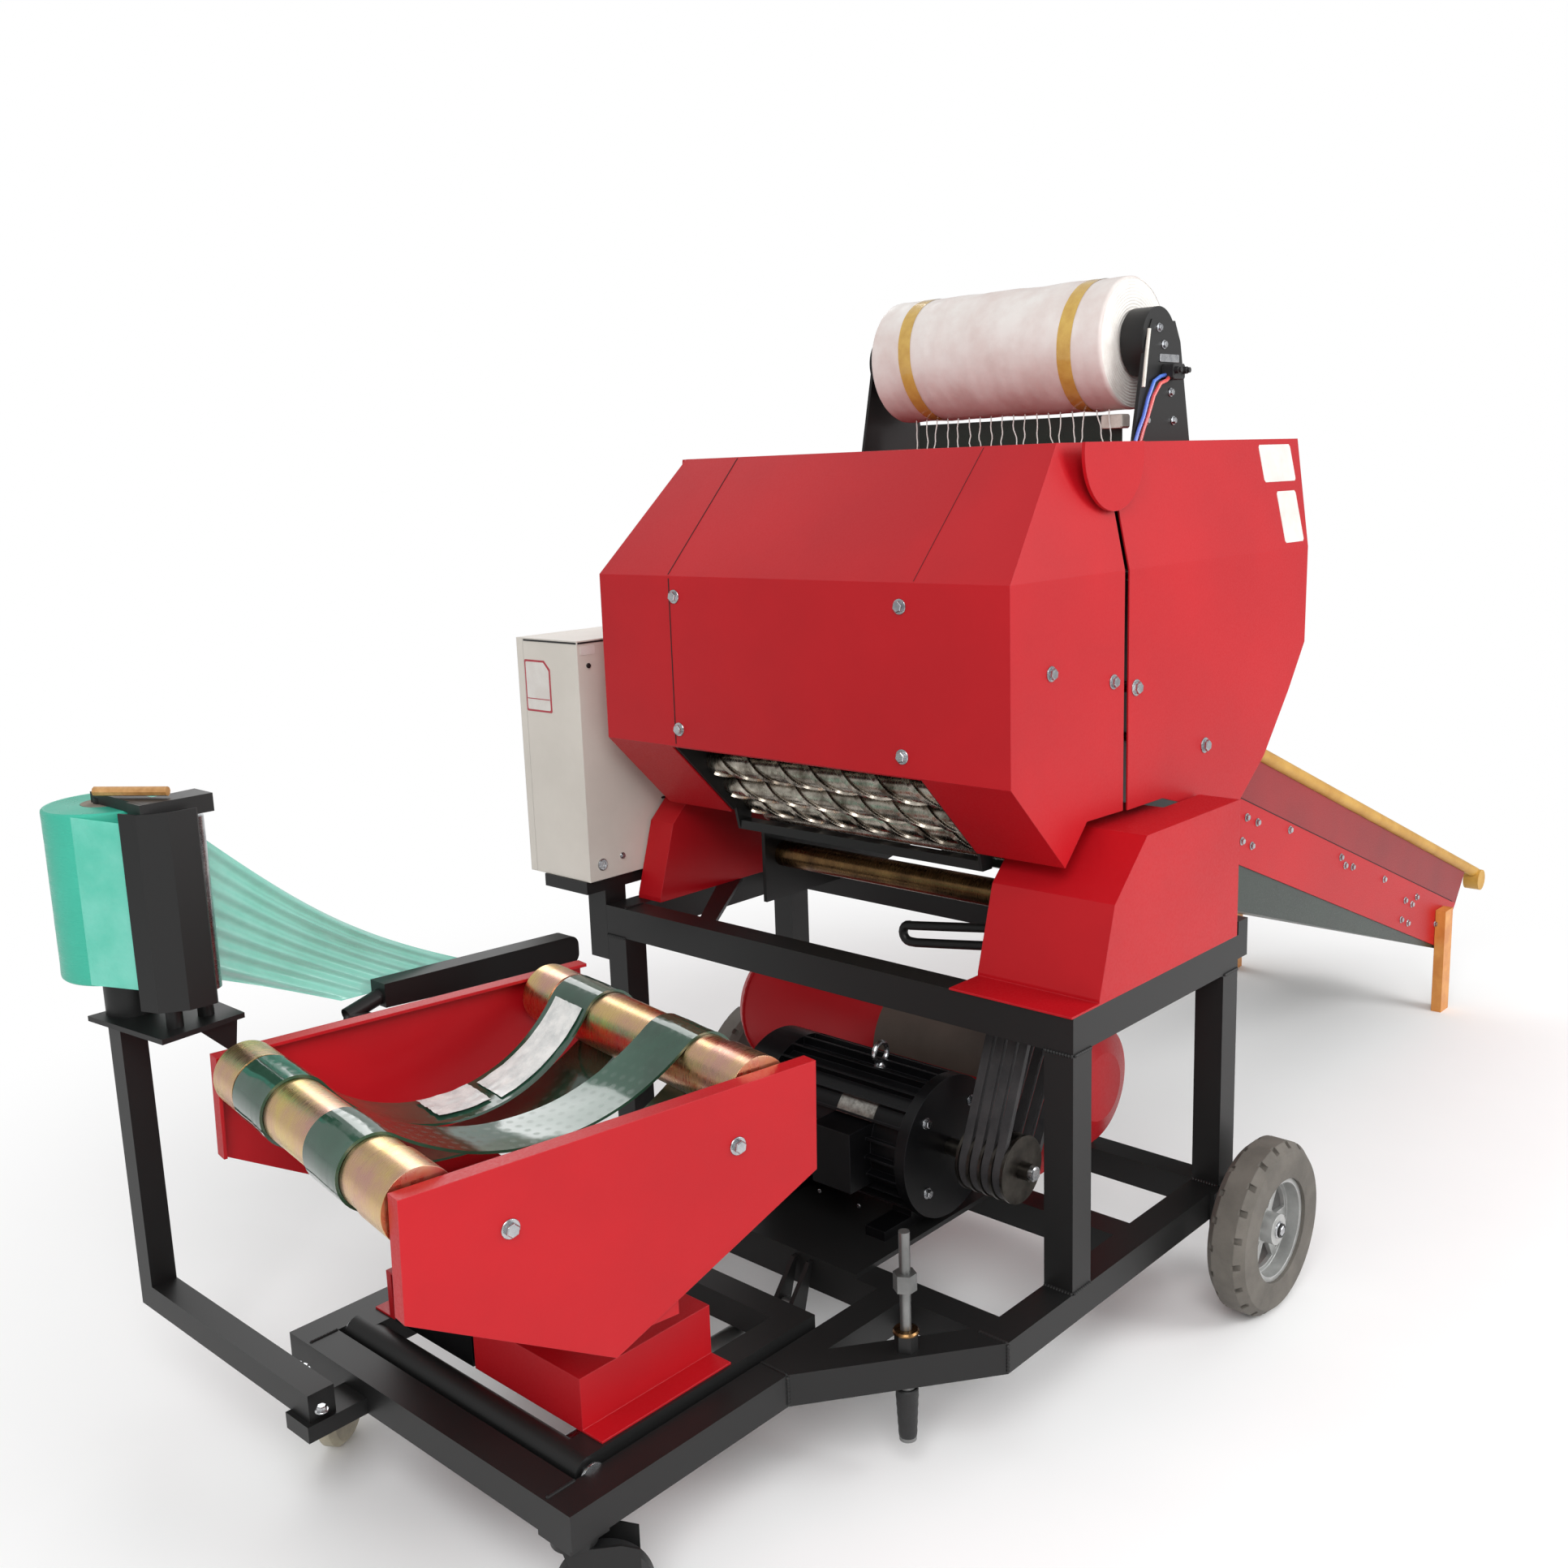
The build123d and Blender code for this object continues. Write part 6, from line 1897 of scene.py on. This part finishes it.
@dataclass
class Studio:
    """Floor, light and the camera of the photograph."""

    camera_mm: Place = (-1816.5, -1650.8, 1414.7)
    aim_mm: Place = (334.7, 354.6, 822.3)
    roll_degrees: float = 1.98
    focal_share: float = 0.98848
    sensor_mm: float = 36.0
    floor_half_m: float = 30.0
    background: str = "FFFFFF"
    sky_light: float = 0.62
    # Name, place in metres, width of the face in metres and power in watts of each lamp.
    lamps: tuple[tuple[str, Place, float, float], ...] = (
        ("lamp_front_left", (-3.5, -2.4, 3.4), 2.4, 110.0),
        ("lamp_right", (1.5, -4.2, 2.6), 2.4, 120.0),
        ("lamp_back", (1.5, 4.0, 3.6), 2.6, 60.0),
    )
    lamp_aim: Place = (0.0, 0.0, 0.7)

    def build_camera(self) -> None:
        """Sets the camera where the photograph was taken from."""
        data = bpy.data.cameras.new("camera")
        data.sensor_fit = "HORIZONTAL"
        data.sensor_width = self.sensor_mm
        data.lens = self.sensor_mm * self.focal_share
        camera = bpy.data.objects.new("camera", data)
        bpy.context.scene.collection.objects.link(camera)
        place = GROUND_POINT + Vector(self.camera_mm) * MM
        aim = GROUND_POINT + Vector(self.aim_mm) * MM
        level = (aim - place).to_track_quat("-Z", "Y")
        roll = Quaternion((0.0, 0.0, 1.0), -math.radians(self.roll_degrees))
        camera.matrix_world = Matrix.LocRotScale(place, level @ roll, None)
        bpy.context.scene.camera = camera

    def floor_material(self) -> bpy.types.Material:
        """Makes the pale floor, which fades to plain white away from the machine.

        Returns:
            The material.
        """
        made = bpy.data.materials.new("pale_studio_floor")
        made.use_nodes = True
        tree = made.node_tree
        tree.nodes.clear()
        place = add_node(tree, "ShaderNodeTexCoord")
        distance = add_node(tree, "ShaderNodeVectorMath", {"operation": "LENGTH"}, {0: place.outputs["Object"]})
        far = add_node(
            tree,
            "ShaderNodeMapRange",
            {"interpolation_type": "SMOOTHSTEP", "From Min": 1.4, "From Max": 2.6, "To Min": 0.0, "To Max": 1.0},
            {"Value": distance.outputs["Value"]},
        )
        path = add_node(tree, "ShaderNodeLightPath")
        seen = add_node(
            tree,
            "ShaderNodeMath",
            {"operation": "MULTIPLY"},
            {0: path.outputs["Is Camera Ray"], 1: far.outputs["Result"]},
        )
        speck = add_node(
            tree,
            "ShaderNodeTexNoise",
            {"Scale": pattern_scale(300.0), "Detail": 4.0},
            {"Vector": place.outputs["Object"]},
        )
        tone = add_node(
            tree,
            "ShaderNodeMix",
            {
                "data_type": "RGBA",
                MixSocket.COLOUR_A: linear_colour("FAFAFA"),
                MixSocket.COLOUR_B: linear_colour("F6F6F6"),
            },
            {"Factor": speck.outputs["Fac"]},
        )
        matt = add_node(tree, "ShaderNodeBsdfDiffuse", links={"Color": tone.outputs[MixSocket.COLOUR_OUT]})
        white = add_node(tree, "ShaderNodeEmission", {"Color": linear_colour(self.background), "Strength": 1.0})
        mix = add_node(
            tree,
            "ShaderNodeMixShader",
            links={"Fac": seen.outputs["Value"], 1: matt.outputs["BSDF"], 2: white.outputs["Emission"]},
        )
        add_node(tree, "ShaderNodeOutputMaterial", links={"Surface": mix.outputs["Shader"]})
        return made

    def build_floor(self) -> None:
        """Lays the plain pale floor."""
        half = self.floor_half_m
        mesh = bpy.data.meshes.new("floor")
        mesh.from_pydata([(-half, -half, 0), (half, -half, 0), (half, half, 0), (-half, half, 0)], [], [(0, 1, 2, 3)])
        floor = bpy.data.objects.new("floor", mesh)
        bpy.context.scene.collection.objects.link(floor)
        mesh.materials.append(self.floor_material())

    def build_lamp(self, name: str, place: Place, size: float, watts: float) -> None:
        """Hangs one soft lamp that points at the machine.

        Args:
            name: The lamp's name.
            place: Where it hangs, in metres.
            size: Width of its square face in metres.
            watts: Its power.
        """
        data = bpy.data.lights.new(name, "AREA")
        data.shape = "SQUARE"
        data.size = size
        data.energy = watts
        lamp = bpy.data.objects.new(name, data)
        bpy.context.scene.collection.objects.link(lamp)
        turn = (Vector(self.lamp_aim) - Vector(place)).to_track_quat("-Z", "Y")
        lamp.matrix_world = Matrix.LocRotScale(Vector(place), turn, None)

    def build_world(self) -> None:
        """Makes the sky white to the eye and through clear things, and dim as a light."""
        world = bpy.data.worlds.new("white_studio")
        bpy.context.scene.world = world
        world.use_nodes = True
        tree = world.node_tree
        tree.nodes.clear()
        path = add_node(tree, "ShaderNodeLightPath")
        seen = add_node(
            tree,
            "ShaderNodeMath",
            {"operation": "MAXIMUM"},
            {0: path.outputs["Is Camera Ray"], 1: path.outputs["Is Transmission Ray"]},
        )
        strength = add_node(
            tree,
            "ShaderNodeMapRange",
            {"From Min": 0.0, "From Max": 1.0, "To Min": self.sky_light, "To Max": 1.0},
            {"Value": seen.outputs["Value"]},
        )
        shade = add_node(
            tree,
            "ShaderNodeBackground",
            {"Color": linear_colour(self.background)},
            {"Strength": strength.outputs["Result"]},
        )
        add_node(tree, "ShaderNodeOutputWorld", links={"Surface": shade.outputs["Background"]})

    def build(self) -> None:
        """Builds the whole stage."""
        bpy.context.scene.view_settings.view_transform = "Standard"
        self.build_camera()
        self.build_floor()
        self.build_world()
        for lamp in self.lamps:
            self.build_lamp(*lamp)


def write_sizes() -> None:
    """Updates the view layer."""
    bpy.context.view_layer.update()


def main() -> None:
    """Builds the machine's looks in order and reports each part."""
    logging.basicConfig(level=logging.INFO, format="%(message)s")
    logger.info("%d solids dressed", dress_nodes())
    for assembly in (
        Studio(), Undercarriage(), Chamber(), NetRack(), ControlCabinet(), Drive(), Conveyor(), Wrapper(), FilmStand(),
    ):
        assembly.build()
        logger.info("%s finished", type(assembly).__name__)
    write_sizes()


if __name__ == "__main__":
    main()
